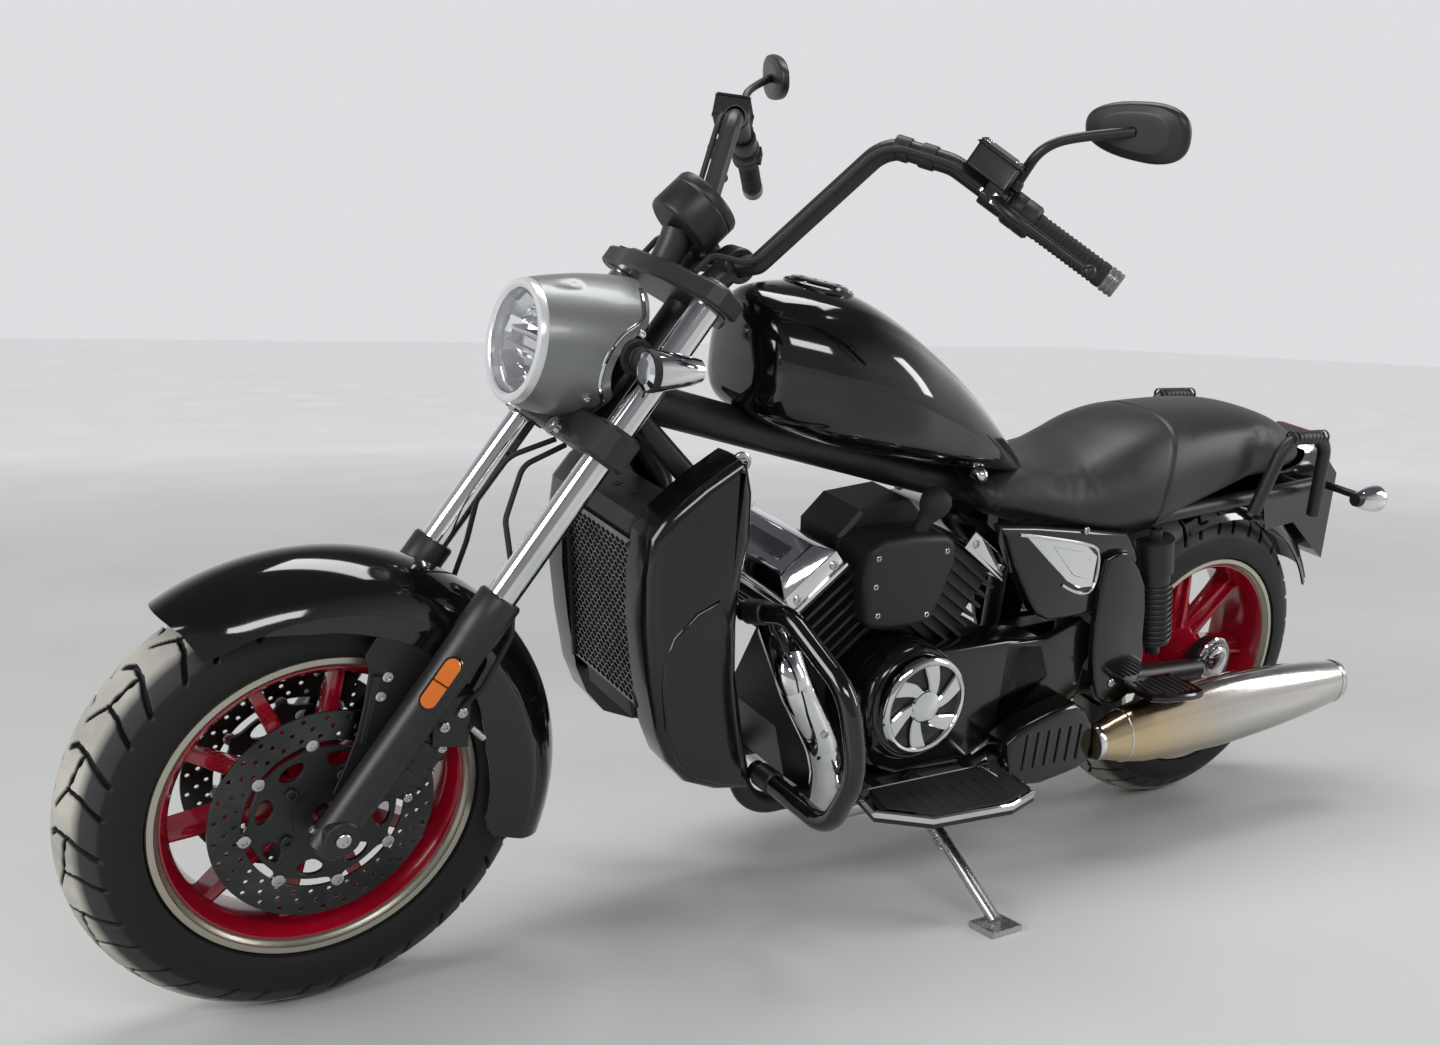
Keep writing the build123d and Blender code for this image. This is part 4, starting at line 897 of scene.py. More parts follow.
rod(shapes["bullet"], SIGNAL_AT + Vector((-0.026, -0.022, 0)), SIGNAL_AT + Vector((-0.026, -0.052, 0)), 0.0085)
for step in range(3):
    rod(shapes["ring"], SIGNAL_AT + Vector((-0.026, -0.052 - 0.009 * step, 0)),
        SIGNAL_AT + Vector((-0.026, -0.059 - 0.009 * step, 0)), 0.0165 - 0.001 * (step % 2), None, 28, 0.0015)
rod(shapes["ring"], SIGNAL_AT + Vector((-0.026, -0.078, 0)), SIGNAL_AT + Vector((-0.026, -0.090, 0)), 0.026,
    None, 32, 0.003)
mirrored(*shapes.values())
piece("front_signal_bullets", shapes["bullet"], CHROME, "fork", "chrome", "front_turn_signals")
piece("front_signal_lenses", shapes["lens"], MIRROR, "fork", "lens", crease=10)
piece("front_signal_rings", shapes["ring"], RUBBER, "fork", "black_plastic")

# ---------------------------------------------------------------- fuel tank
# A teardrop tank pressed from two steel halves, gloss black, with a shallow crease along
# each shoulder. A low ringed filler cap sits on its crown and a chrome plug at its tail.
TANK_ROWS = [  # x, underside, ridge, half width
    (1.140, 0.872, 0.985, 0.060), (1.132, 0.850, 1.012, 0.084), (1.107, 0.832, 1.029, 0.116),
    (1.035, 0.806, 1.036, 0.151), (0.962, 0.790, 1.026, 0.165), (0.895, 0.780, 1.000, 0.168),
    (0.827, 0.767, 0.962, 0.158), (0.757, 0.755, 0.916, 0.143), (0.679, 0.744, 0.856, 0.118),
    (0.610, 0.735, 0.795, 0.090), (0.582, 0.732, 0.765, 0.074), (0.574, 0.732, 0.752, 0.060)]


def smoothed(rows, count):
    """Rows of numbers, run through by a smooth curve and read off again at even steps."""
    made = []
    for step in range(count + 1):
        at = (len(rows) - 1) * step / count
        low = min(int(at), len(rows) - 2)
        share = at - low
        four = [rows[min(max(low + shift, 0), len(rows) - 1)] for shift in (-1, 0, 1, 2)]
        made.append(tuple(0.5 * (2 * b + (c - a) * share + (2 * a - 5 * b + 4 * c - d) * share ** 2
                                 + (3 * b - a - 3 * c + d) * share ** 3) for a, b, c, d in zip(*four)))
    return made


def bellied(x, low, high, half, belly=0.40, crown=2.1, foot=3.2, steps=96, crease=0.0):
    """Cross-section at x: widest at its belly, flat below and round above, creased on the shoulder."""
    middle = low + (high - low) * belly
    points = []
    for step in range(steps):
        angle = 2 * math.pi * step / steps
        across_share, rise_share = math.cos(angle), math.sin(angle)
        power = crown if rise_share > 0 else foot
        rise = high - middle if rise_share > 0 else middle - low
        lift = crease if rise_share > 0.80 else 0.0
        left = half * math.copysign(abs(across_share) ** (2 / power), across_share)
        up = (rise + lift) * math.copysign(abs(rise_share) ** (2 / power), rise_share)
        points.append(Vector((x, left, middle + up)))
    return points


shape = bmesh.new()
rows = smoothed(TANK_ROWS, 64)
loft(shape, [bellied(*row, crease=0.0035 * min(1.0, step / 8) * min(1.0, (64 - step) / 8))
             for step, row in enumerate(rows)])
piece("fuel_tank_shell", shape, GLOSS_BLACK, "chassis", "gloss_black", "fuel_tank", crease=22)
GLOSS_PLASTIC = coated("glossy_black_moulding", (0.0032, 0.0033, 0.0038), (0.0055, 0.0057, 0.0065),
                       (0.10, 0.20), coat=0.25, grain=500.0, relief=(0.04, 0.0003), Specular_IOR_Level=0.4)
CAP_AT = Vector((1.000, 0, 1.0335))
cap_up = Vector((-0.13, 0, 1)).normalized()
shape = bmesh.new()
turned(shape, mm([(-4, 0), (-4, 56), (1, 56), (3, 53), (3, 48), (6.5, 46), (8.5, 42), (8.5, 36), (6.5, 34),
                  (6.5, 28), (9, 26), (9, 12), (7.5, 10), (7.5, 0)]), facing(CAP_AT, cap_up), 72)
piece("filler_cap", shape, GLOSS_PLASTIC, "chassis", "gloss_black", crease=25)
shape = bmesh.new()
for count in range(6):
    angle = 2 * math.pi * count / 6
    bolt(shape, facing(CAP_AT, cap_up) @ Vector((0.0505 * math.cos(angle), 0.0505 * math.sin(angle), 0.003)),
         cap_up, 0.0032, 0.0018)
for hand in (1, -1):
    turned(shape, mm([(0, 0), (0, 12), (12, 12.5), (20, 10), (24, 5), (24, 0)]),
           facing((0.706, 0.098 * hand, 0.752), (-0.2, 0.9 * hand, -0.3)), 28)
piece("tank_fixings", shape, CHROME, "chassis", "chrome")

# ---------------------------------------------------------------- saddle
# One moulded foam saddle for two, stretched with black leather. The rider's part dips
# behind the tank and the passenger's part is raised; a seam curves between the two.
LEATHER = coated("black_leather", (0.0075, 0.0077, 0.0085), (0.013, 0.0133, 0.0145), (0.40, 0.52), grain=520.0,
                 relief=(0.22, 0.0005), Specular_IOR_Level=0.5)
SADDLE_ROWS = [  # x, underside, top, half width
    (0.684, 0.700, 0.736, 0.080), (0.660, 0.676, 0.745, 0.112), (0.600, 0.658, 0.748, 0.130),
    (0.520, 0.640, 0.744, 0.146), (0.450, 0.624, 0.752, 0.155), (0.390, 0.612, 0.775, 0.160),
    (0.330, 0.608, 0.802, 0.162), (0.270, 0.616, 0.818, 0.160), (0.200, 0.642, 0.824, 0.154),
    (0.100, 0.674, 0.828, 0.148), (0.000, 0.702, 0.826, 0.136), (-0.080, 0.710, 0.812, 0.122),
    (-0.140, 0.716, 0.790, 0.104), (-0.180, 0.722, 0.764, 0.078), (-0.192, 0.728, 0.750, 0.050)]
SEAM = [  # height, x where the seam between the two parts runs
    (0.60, 0.300), (0.66, 0.297), (0.71, 0.290), (0.76, 0.272), (0.80, 0.252), (0.84, 0.235)]


def inflated(name, shape, voxel, pressure, cap):
    """Blows the skin of a pad up a little with a cloth simulation, and keeps the result."""
    mesh = bpy.data.meshes.new(name)
    bmesh.ops.remove_doubles(shape, verts=shape.verts, dist=1e-5)
    bmesh.ops.recalc_face_normals(shape, faces=shape.faces)
    shape.to_mesh(mesh)
    shape.free()
    pad = bpy.data.objects.new(name, mesh)
    bpy.context.scene.collection.objects.link(pad)
    pad.modifiers.new("skin", "REMESH").mode = "VOXEL"
    pad.modifiers["skin"].voxel_size = voxel
    bpy.context.view_layer.update()
    graph = bpy.context.evaluated_depsgraph_get()
    skin = bpy.data.meshes.new_from_object(pad.evaluated_get(graph))
    pad.modifiers.clear()
    pad.data = skin
    before = [vert.co.copy() for vert in skin.vertices]
    cloth = pad.modifiers.new("cloth", "CLOTH")
    cloth.settings.quality = 4
    cloth.settings.use_pressure = True
    cloth.settings.uniform_pressure_force = pressure
    cloth.settings.effector_weights.gravity = 0
    cloth.point_cache.frame_start, cloth.point_cache.frame_end = 1, 20
    for count in range(1, 21):
        bpy.context.scene.frame_set(count)
    graph = bpy.context.evaluated_depsgraph_get()
    blown = bpy.data.meshes.new_from_object(pad.evaluated_get(graph))
    pad.modifiers.clear()
    for vert, was in zip(blown.vertices, before):
        move = vert.co - was
        vert.co = was + move * min(1.0, cap / max(move.length, 1e-9))
    pad.data = blown
    bpy.context.scene.frame_set(1)
    puffed = bmesh.new()
    puffed.from_mesh(pad.data)
    bpy.data.objects.remove(pad)
    for _ in range(2):
        bmesh.ops.smooth_vert(puffed, verts=puffed.verts, factor=0.5, use_axis_x=True, use_axis_y=True,
                              use_axis_z=True)
    bmesh.ops.subdivide_edges(puffed, edges=puffed.edges[:], cuts=1, use_grid_fill=True, smooth=0.0)
    return puffed


shape = bmesh.new()
loft(shape, [bellied(*row, belly=0.34, crown=2.5, foot=2.6, steps=72) for row in smoothed(SADDLE_ROWS, 60)])
pad = inflated("saddle_foam", shape, 0.006, 4.0, 0.008)
SEAM_WIDE, SEAM_DEEP = 0.0042, 0.0034
NOSE_AT, NOSE_WIDE, NOSE_DEEP = 0.652, 0.004, 0.0022
WELT_WIDE, WELT_DEEP, WELT_FROM, WELT_LIFT = 0.0035, 0.0016, 0.29, 0.030
WELT = mm([(-200, 728), (0, 706), (200, 648), (330, 614), (450, 628), (690, 690)])
HEART_Z = 0.70              # the seams sink towards the saddle's middle
for vert in pad.verts:
    x, y, z = vert.co
    dip = SEAM_DEEP * math.exp(-((x - along_table(SEAM, z)) / SEAM_WIDE) ** 2)
    dip += NOSE_DEEP * math.exp(-((x - NOSE_AT - 0.02 * abs(y)) / NOSE_WIDE) ** 2)
    if x < WELT_FROM:
        dip += WELT_DEEP * math.exp(-((z - WELT_LIFT - along_table(WELT, x)) / WELT_WIDE) ** 2)
    vert.co += (Vector((x, 0, HEART_Z)) - vert.co).normalized() * dip
leather = piece("saddle_leather", pad, LEATHER, "chassis", "leather", "saddle", crease=180)

# ---------------------------------------------------------------- radiator
# A finned core behind a stamped steel mesh, with a black header tank sloping back above it
# and a small plate below. Glossy black shrouds are moulded round its sides.
BLACK_PLASTIC = coated("black_moulding", (0.008, 0.008, 0.0085), (0.014, 0.014, 0.015), (0.42, 0.6),
                       grain=1500.0, relief=(0.3, 0.0003), Specular_IOR_Level=0.4)
MESH_STEEL = coated("mesh_steel", (0.16, 0.16, 0.16), (0.30, 0.30, 0.295), (0.28, 0.4), metal=1.0, grain=300.0,
                    patch=20.0)
relief_of["radiator_fins"] = (0.9, 0.002)


def fin_recipe(place):
    """Thin level fins, drawn as waves across the core."""
    return {"Height": place.node("TexWave", {"bands_direction": "Y"}, output=1, Vector=place, Scale=160.0),
            "Base Color": place.noise(30).blend((0.010, 0.010, 0.010), (0.03, 0.03, 0.032))}


CORE_FINS = finish("radiator_fins", {"Base Color": (0.02, 0.02, 0.02), "Metallic": 0.6, "Roughness": 0.5},
                   fin_recipe)
dress(CORE_FINS, "radiator")
RAD_LOW, RAD_HIGH, RAD_HALF = Vector((1.297, 0, 0.418)), Vector((1.334, 0, 0.680)), 0.108
rise = (RAD_HIGH - RAD_LOW).normalized()
front = framed(LEFT, rise, LEFT.cross(rise), RAD_LOW + LEFT.cross(rise) * 0.006)
RAD_LONG = (RAD_HIGH - RAD_LOW).length
HOLE_WIDE, HOLE_HIGH, WEB = 0.0152, 0.0098, 0.0016
holes = []
row = 0
height = 0.008
while height < RAD_LONG - 0.006:
    across_at = -RAD_HALF + 0.010 + (HOLE_WIDE / 2 if row % 2 else 0)
    while across_at < RAD_HALF - 0.006:
        a, b = HOLE_WIDE / 2 - WEB / 2, HOLE_HIGH * 0.62 - WEB / 2
        holes.append([(across_at + a, height - b / 3), (across_at + a, height + b / 3), (across_at, height + b),
                      (across_at - a, height + b / 3), (across_at - a, height - b / 3),
                      (across_at, height - b)])
        across_at += HOLE_WIDE
    height += HOLE_HIGH * 0.86
    row += 1
shape = bmesh.new()
rim = [(-RAD_HALF, 0), (RAD_HALF, 0), (RAD_HALF, RAD_LONG), (-RAD_HALF, RAD_LONG)]
flat(shape, [rim] + holes, 0.0022, front)
piece("radiator_mesh", shape, MESH_STEEL, "chassis", "steel", crease=20)
shape = bmesh.new()
TOP_TANK = mm([(1334, 680), (1345, 690), (1338, 716), (1262, 732), (1252, 700)])
flat(shape, [TOP_TANK], 2 * RAD_HALF - 0.004, EDGE_ON, 0.005)
FOOT_PLATE = mm([(1300, 416), (1292, 384), (1262, 372), (1262, 412)])
flat(shape, [FOOT_PLATE], 0.150, EDGE_ON, 0.004)
for hand in (1, -1):
    edge = hand * (RAD_HALF - 0.003)
    beam(shape, front @ Vector((edge, 0, 0.001)), front @ Vector((edge, RAD_LONG, 0.001)), LEFT, (0.008, 0.010),
         (0.008, 0.010), 0.002)
for left in (-0.075, -0.025, 0.025, 0.075):
    turned(shape, mm([(0, 3), (0, 8.5), (2, 8.5), (2, 3)]), facing((1.302, left, 0.7235), (0.2, 0, 1)), 20,
           closed=True)
piece("radiator_tanks", shape, BLACK_PLASTIC, "chassis", "black_plastic", crease=30)

SHROUD = mm([(1215, 812), (1270, 776), (1318, 735), (1343, 700), (1346, 640), (1340, 572), (1322, 480),
             (1300, 394), (1278, 348), (1244, 310), (1190, 288), (1130, 280), (1136, 330), (1150, 378),
             (1176, 480), (1185, 560), (1186, 630), (1178, 690), (1184, 760), (1198, 806)])
PANEL = mm([(1226, 604), (1262, 588), (1296, 552), (1309, 512), (1306, 470), (1292, 400), (1268, 350),
            (1236, 322), (1190, 302), (1148, 296), (1160, 360), (1186, 470), (1198, 550)])


def side_panel(shape, outline, low_y, high_y, round_by):
    """Moulded side panel: a side-view outline with a rolled outer edge."""
    centre = Vector((sum(x for x, z in outline) / len(outline), sum(z for x, z in outline) / len(outline)))
    rings = []
    steps = 6
    for step in range(steps + 1):
        angle = math.pi / 2 * step / steps
        inward, out = round_by * (1 - math.cos(angle)), high_y - round_by + round_by * math.sin(angle)
        ring_points = []
        for count, (x, z) in enumerate(outline):
            before, after = Vector(outline[count - 1]), Vector(outline[(count + 1) % len(outline)])
            run = (after - before).normalized()
            inside = Vector((-run.y, run.x))
            inside = inside if inside.dot(centre - Vector((x, z))) > 0 else -inside
            ring_points.append(Vector((x + inside.x * inward, out, z + inside.y * inward)))
        rings.append(ring_points)
    first = [Vector((point.x, low_y, point.z)) for point in rings[0]]
    loft(shape, [first] + rings)


shape, fixings = bmesh.new(), bmesh.new()
side_panel(shape, SHROUD, RAD_HALF - 0.002, 0.1745, 0.022)
side_panel(shape, PANEL, 0.168, 0.1785, 0.006)
turned(fixings, mm([(0, 0), (0, 15), (5, 15), (7, 12), (7, 0)]), facing((1.203, 0.150, 0.803), LEFT), 32)
bolt(fixings, (1.203, 0.157, 0.803), LEFT, 0.0085, 0.006)
mirrored(shape, fixings)
piece("radiator_shroud_mouldings", shape, GLOSS_PLASTIC, "chassis", "gloss_plastic", "radiator_shrouds",
      crease=28)
piece("shroud_bolts", fixings, STEEL, "chassis", "steel")

# ---------------------------------------------------------------- frame
# Steel tube welded up in satin black: a backbone over the engine, two downtubes in front of
# it and two rails below, with the seat rails behind.
dress(SATIN_BLACK, "frame")

# ---------------------------------------------------------------- engine
# A V-twin: finned black cylinders under chromed rocker covers, a black case with smooth
# covers on both sides, and a black air cleaner between the banks with its rubber boot.
ENGINE_BLACK = coated("engine_black", (0.0055, 0.0056, 0.006), (0.010, 0.0102, 0.011), (0.34, 0.48),
                      grain=900.0, relief=(0.2, 0.0004), Specular_IOR_Level=0.4)
CRANK_AT = Vector((0.835, 0, 0.370))
BANKS = (40.0, -35.0)
dress(ENGINE_BLACK, "crankcase", "cylinders")

shape, fixings = bmesh.new(), bmesh.new()
for bank in BANKS:
    lean = math.radians(bank)
    up_bank = Vector((math.sin(lean), 0, math.cos(lean)))
    fore_bank = Vector((math.cos(lean), 0, -math.sin(lean)))
    foot, waist, top = (CRANK_AT + up_bank * reach for reach in (0.2725, 0.309, 0.332))
    beam(shape, foot, foot + up_bank * 0.007, LEFT, (0.252, 0.120), (0.252, 0.120), 0.0015)
    beam(shape, foot + up_bank * 0.006, waist, LEFT, (0.246, 0.114), (0.246, 0.114), 0.003)
    beam(shape, waist - up_bank * 0.001, top, LEFT, (0.246, 0.114), (0.200, 0.070), 0.003)
    beam(shape, top - up_bank * 0.004, top, LEFT, (0.150, 0.036), (0.146, 0.032), 0.001)
    for ahead in (-0.040, 0.040):
        bolt(fixings, foot + up_bank * 0.018 + fore_bank * ahead + LEFT * 0.122, LEFT, 0.0075, 0.004)
    for across in (-0.070, 0.070):
        bolt(fixings, top - up_bank * 0.001 + LEFT * across, up_bank, 0.006, 0.001)
    for hand in (-1, 1):
        bolt(fixings, foot + up_bank * 0.018 - LEFT * 0.122 + fore_bank * 0.040 * hand, -LEFT, 0.0075, 0.004)
piece("rocker_cover_castings", shape, CHROME, "chassis", "chrome", "rocker_covers", crease=24)
piece("rocker_cover_bolts", fixings, STEEL, "chassis", "steel")

AIR_COVER = mm([(923, 520), (938, 590), (934, 640), (905, 656), (840, 660), (778, 657), (758, 645), (750, 614),
                (768, 550), (786, 508), (830, 500), (880, 500), (910, 506)])
AIR_BODY = mm([(925, 494), (940, 640), (900, 682), (800, 694), (742, 640), (746, 530), (800, 494)])
shape, fixings = bmesh.new(), bmesh.new()
flat(shape, [AIR_BODY], 0.118, EDGE_ON, 0.006)
side_panel(shape, AIR_COVER, 0.057, 0.139, 0.014)
for x, z in ((0.916, 0.628), (0.914, 0.580), (0.902, 0.530), (0.776, 0.630), (0.800, 0.522)):
    bolt(fixings, (x, 0.1385, z), LEFT, 0.0052, 0.0012)
piece("air_cleaner_cover", shape, BLACK_PLASTIC, "chassis", "black_plastic", "intake_housing", crease=26)
boot = bmesh.new()
turned(boot, mm([(0, 0), (0, 14), (30, 13), (40, 17), (50, 23.5), (62, 26.5), (74, 25), (84, 18), (88, 8),
                 (88.5, 0)]), facing((0.819, 0.105, 0.648), (-0.036, 0.004, 0.072)), 40)
piece("breather_boot", boot, RUBBER, "chassis", "rubber")
piece("air_cleaner_bolts", fixings, STEEL, "chassis", "steel")

LEFT_CASE = mm([(900, 300), (893, 440), (820, 458), (724, 456), (612, 458), (527, 448), (493, 380), (511, 298),
                (600, 280), (680, 237), (825, 241), (880, 266)])
LEFT_FLAP = mm([(620, 452), (560, 452), (520, 450), (438, 479), (410, 462), (393, 432), (400, 408), (413, 387),
                (416, 350), (424, 321), (500, 300), (620, 280)])
RIGHT_CASE = mm([(900, 300), (880, 439), (760, 461), (620, 429), (541, 380), (561, 271), (700, 250), (838, 242),
                 (880, 264)])
shape, strip = bmesh.new(), bmesh.new()
side_panel(shape, LEFT_CASE, 0.0765, 0.1495, 0.012)
side_panel(shape, LEFT_FLAP, 0.1335, 0.1495, 0.007)
boss = facing((0.835, 0.077, 0.376), Vector((0, 0.113, 0.012)))
turned(shape, mm([(0, 0), (0, 103.5), (82, 100), (100, 96.5), (108, 91.5), (112.5, 84), (112.5, 0)]), boss, 96)
turned(shape, mm([(100, 89), (112.8, 89), (112.8, 86.2), (100, 86.2)]), boss, 96, closed=True)
flat(shape, [RIGHT_CASE], 0.0735, at_side(-0.113), 0.010)
turned(shape, mm([(0, 0), (0, 99.5), (70, 96), (82, 91), (88, 83), (88, 0)]),
       facing((0.835, -0.0765, 0.372), -LEFT), 96)
turned(shape, mm([(86, 0), (86, 52), (88.5, 50), (88.5, 0)]), facing((0.835, -0.0765, 0.372), -LEFT), 48)
tube(strip, mm([(660, 149.5, 252), (602, 149.5, 281), (512, 149.5, 299), (430, 149.5, 322)]), 0.0032, sides=2)
for count in range(6):
    angle = math.radians(60 * count + 20)
    spot = Vector((0.835 + 0.089 * math.cos(angle), -0.1625, 0.372 + 0.089 * math.sin(angle)))
    bolt(strip, spot + LEFT * 0.0035, -LEFT, 0.005, 0.0015)
piece("engine_case_covers", shape, GLOSS_PLASTIC, "chassis", "engine", "engine_side_covers", crease=30)
piece("case_cover_trim", strip, CHROME, "chassis", "chrome")

# ---------------------------------------------------------------- vane cover
# A chromed ring with six curved vanes round a plain hub, pressed over a dark dish and
# screwed to the left engine case.
VANE_AT = facing((0.827, 0.1905, 0.388), LEFT)
shape, dish = bmesh.new(), bmesh.new()
turned(shape, mm([(0, 84.5), (9, 84.5), (13.5, 81), (15, 77.5), (13.5, 73.5), (8, 71), (0, 71)]), VANE_AT, 96,
       closed=True)
turned(shape, mm([(0, 0), (0, 29), (10, 29), (13.5, 26.5), (15, 22), (15.2, 0)]), VANE_AT, 64)
for count in range(6):
    fore, aft = [], []
    for step in range(9):
        share = step / 8
        reach = 0.025 + 0.049 * share
        turn = math.radians(60 * count) + 0.75 * share - 0.25 * share * share
        wide = 0.34 - 0.13 * share
        fore.append((reach * math.cos(turn + wide), reach * math.sin(turn + wide)))
        aft.append((reach * math.cos(turn - wide), reach * math.sin(turn - wide)))
    flat(shape, [fore + aft[::-1]], 0.0075, VANE_AT @ Matrix.Translation((0, 0, 0.0080)), 0.002)
turned(dish, mm([(0.5, 0), (0.5, 73), (4, 73), (4, 0)]), VANE_AT, 64)
piece("vane_cover_ring", shape, CHROME, "chassis", "chrome", "vane_cover", crease=30)
piece("vane_cover_dish", dish, SATIN_BLACK, "chassis", "satin_black")

# ---------------------------------------------------------------- exhaust
# Chromed header pipes run from each cylinder head, with a curved heat shield over the
# front bend, into black collector boxes and out through two long tapered mufflers whose
# front cones have taken a straw-gold tint from the heat.
relief_of["heated_steel"] = (0.05, 0.0002)


def heat_recipe(place):
    """Bright steel with a straw-gold tint towards the front of the mufflers."""
    forwards = place.placed(PARKED).axes()[0].between(0.10, 0.30)
    return {"Base Color": forwards.blend((0.54, 0.52, 0.49), (0.62, 0.49, 0.30)),
            "Roughness": place.noise(80, 4).between(0.2, 0.8, 0.15, 0.24), "Height": place.noise(160, 3)}


HEATED = finish("heated_steel", {"Metallic": 1.0}, heat_recipe)
dress(CHROME, "header_pipes")
COLLECTOR = mm([(631, 289), (600, 311), (564, 322), (520, 334), (474, 342), (440, 322), (418, 292), (412, 255),
                (416, 219), (440, 206), (467, 201), (530, 192), (575, 197), (612, 209), (628, 245)])
shape = bmesh.new()
side_panel(shape, COLLECTOR, 0.1565, 0.2045, 0.014)
for step in range(6):
    at = 0.452 + 0.026 * step
    beam(shape, (at, 0.2040, 0.232), (at, 0.2040, 0.300), LEFT, (0.007, 0.008), (0.007, 0.008), 0.0015)
mirrored(shape)
piece("collector_boxes", shape, GLOSS_PLASTIC, "chassis", "engine", "silencer_boxes", crease=30)
shape, fixings = bmesh.new(), bmesh.new()
SHIELD = mm([(1078, 150, 486), (1080, 180, 452), (1040, 187, 386), (1004, 186, 325), (984, 172, 262)])
tube(shape, SHIELD, 0.0275, sides=6, thick=(0.98, 1.0, 1.0, 1.0, 0.96))
bolt(fixings, (1.034, 0.2135, 0.378), (0.15, 1, 0.1), 0.0065, 0.0035)
mirrored(shape, fixings)
piece("heat_shields", shape, CHROME, "chassis", "chrome", crease=40)
piece("heat_shield_bolts", fixings, STEEL, "chassis", "steel")

MUFFLER_IN, MUFFLER_OUT = Vector((0.414, 0.196, 0.253)), Vector((-0.240, 0.238, 0.306))
MUFFLER = mm([(0, 30.5, 30.5), (30, 38, 34), (70, 50, 40), (110, 59, 44.5), (140, 63.5, 45.5), (230, 69, 48),
              (330, 72.5, 49.5), (450, 66, 47), (565, 54.5, 41.5), (645, 42.5, 33), (653.5, 40, 31)])
muffler_line = (MUFFLER_OUT - MUFFLER_IN).normalized()
muffler_side = (LEFT - muffler_line * LEFT.dot(muffler_line)).normalized()
muffler_up = muffler_line.cross(muffler_side)
muffler_up = muffler_up if muffler_up.z > 0 else -muffler_up


def muffler_ring(along, high, wide, steps=64):
    """Oval round the muffler's line."""
    centre = MUFFLER_IN + muffler_line * along
    return [centre + muffler_side * left + muffler_up * up
            for left, up in ((wide * a, high * b) for a, b in round_line(1.0, steps))]


shape, rims = bmesh.new(), bmesh.new()
rings = [muffler_ring(*row) for row in smoothed(MUFFLER, 50)]
MOUTH = ((0.6555, 0.0365, 0.0275), (0.6500, 0.0350, 0.0260), (0.5600, 0.0350, 0.0260))
mouth = [muffler_ring(*row) for row in MOUTH]
loft(shape, rings + mouth)
for along, high, wide in ((0.0705, 0.0502, 0.0401), (0.6400, 0.0438, 0.0341)):
    bead = muffler_ring(along, high, wide)
    tube(rims, bead + bead[:1], 0.0016, sides=2)
turned(rims, mm([(0, 29), (0, 34), (12, 34.5), (16, 32.5), (16, 29)]),
       facing(MUFFLER_IN - muffler_line * 0.0005, muffler_line), 48, closed=True)
mirrored(shape, rims)
piece("muffler_shells", shape, HEATED, "chassis", "steel", "mufflers", crease=40)
piece("muffler_rims", rims, CHROME, "chassis", "chrome")

# ---------------------------------------------------------------- crash bars
# A bent steel bar on each side, in gloss black, stands out before the engine and the rider's
# feet. Short satin collars clamp it to the frame above and below.
dress(GLOSS_BLACK, "crash_bars")
shape = bmesh.new()
COLLARS = (((1.134, 0.114, 0.5540), (1.124, 0.146, 0.5625)), ((1.079, 0.120, 0.2752), (1.0765, 0.160, 0.2742)))
for start, end in COLLARS:
    rod(shape, start, end, 0.0195, sides=32, bevel=0.002)
mirrored(shape)
piece("crash_bar_collars", shape, SATIN_BLACK, "chassis", "satin_black")

# ---------------------------------------------------------------- floorboards
# Plates of cast aluminium on folding arms, edged with a bright rim and topped with a
# ribbed rubber mat.
dress(SATIN_BLACK, "floorboards")
BOARD = mm([(915, 165), (928, 235), (850, 290), (690, 302), (622, 280), (612, 216), (644, 212), (646, 165)])
board_middle = Vector((sum(x for x, y in BOARD) / 8, sum(y for x, y in BOARD) / 8))


def board_edge(share):
    """Outline of the board, brought in towards its middle to a share of its size."""
    return [tuple(board_middle + (Vector(spot) - board_middle) * share) for spot in BOARD]


shape, rims = bmesh.new(), bmesh.new()
flat(shape, [board_edge(0.88)], 0.005, Matrix.Translation((0, 0, 0.2350)), 0.001)
for step in range(8):
    at = 0.668 + 0.028 * step
    beam(shape, (at, 0.205, 0.2365), (at, 0.268, 0.2365), UP, (0.005, 0.008), (0.005, 0.008), 0.001)
flat(rims, [board_edge(1.004), board_edge(0.94)], 0.014, Matrix.Translation((0, 0, 0.2295)), 0.0025)
mirrored(shape, rims)
piece("floorboard_mats", shape, RUBBER, "chassis", "rubber")
piece("floorboard_rims", rims, CHROME, "chassis", "chrome")

# ---------------------------------------------------------------- stands and pedals
# The side stand is a steel leg with a flat foot, which a coil spring pulls up or down past
# its middle. The brake and gear pedals are bent black rods in front of the boards.
dress(STEEL, "side_stand")
dress(SATIN_BLACK, "foot_controls")
LEG_TOP, LEG_END = Vector((0.770, 0.130, 0.199)), Vector((0.768, 0.385, 0.069))
leg_line = (LEG_END - LEG_TOP).normalized()
FORWARDS = Vector((1, 0, 0))
leg_side = leg_line.cross(FORWARDS).normalized()
COIL_TURNS, COIL_R = 15, 0.0128
coil = []
for step in range(COIL_TURNS * 8 + 1):
    angle = 2 * math.pi * step / 8
    centre = LEG_TOP + leg_line * (0.050 + 0.075 * step / 120)
    coil.append(centre + FORWARDS * (COIL_R * math.cos(angle)) + leg_side * (COIL_R * math.sin(angle)))
shape = bmesh.new()
tube(shape, coil, 0.0016, sides=1)
piece("stand_spring", shape, STEEL, "side_stand", "steel")

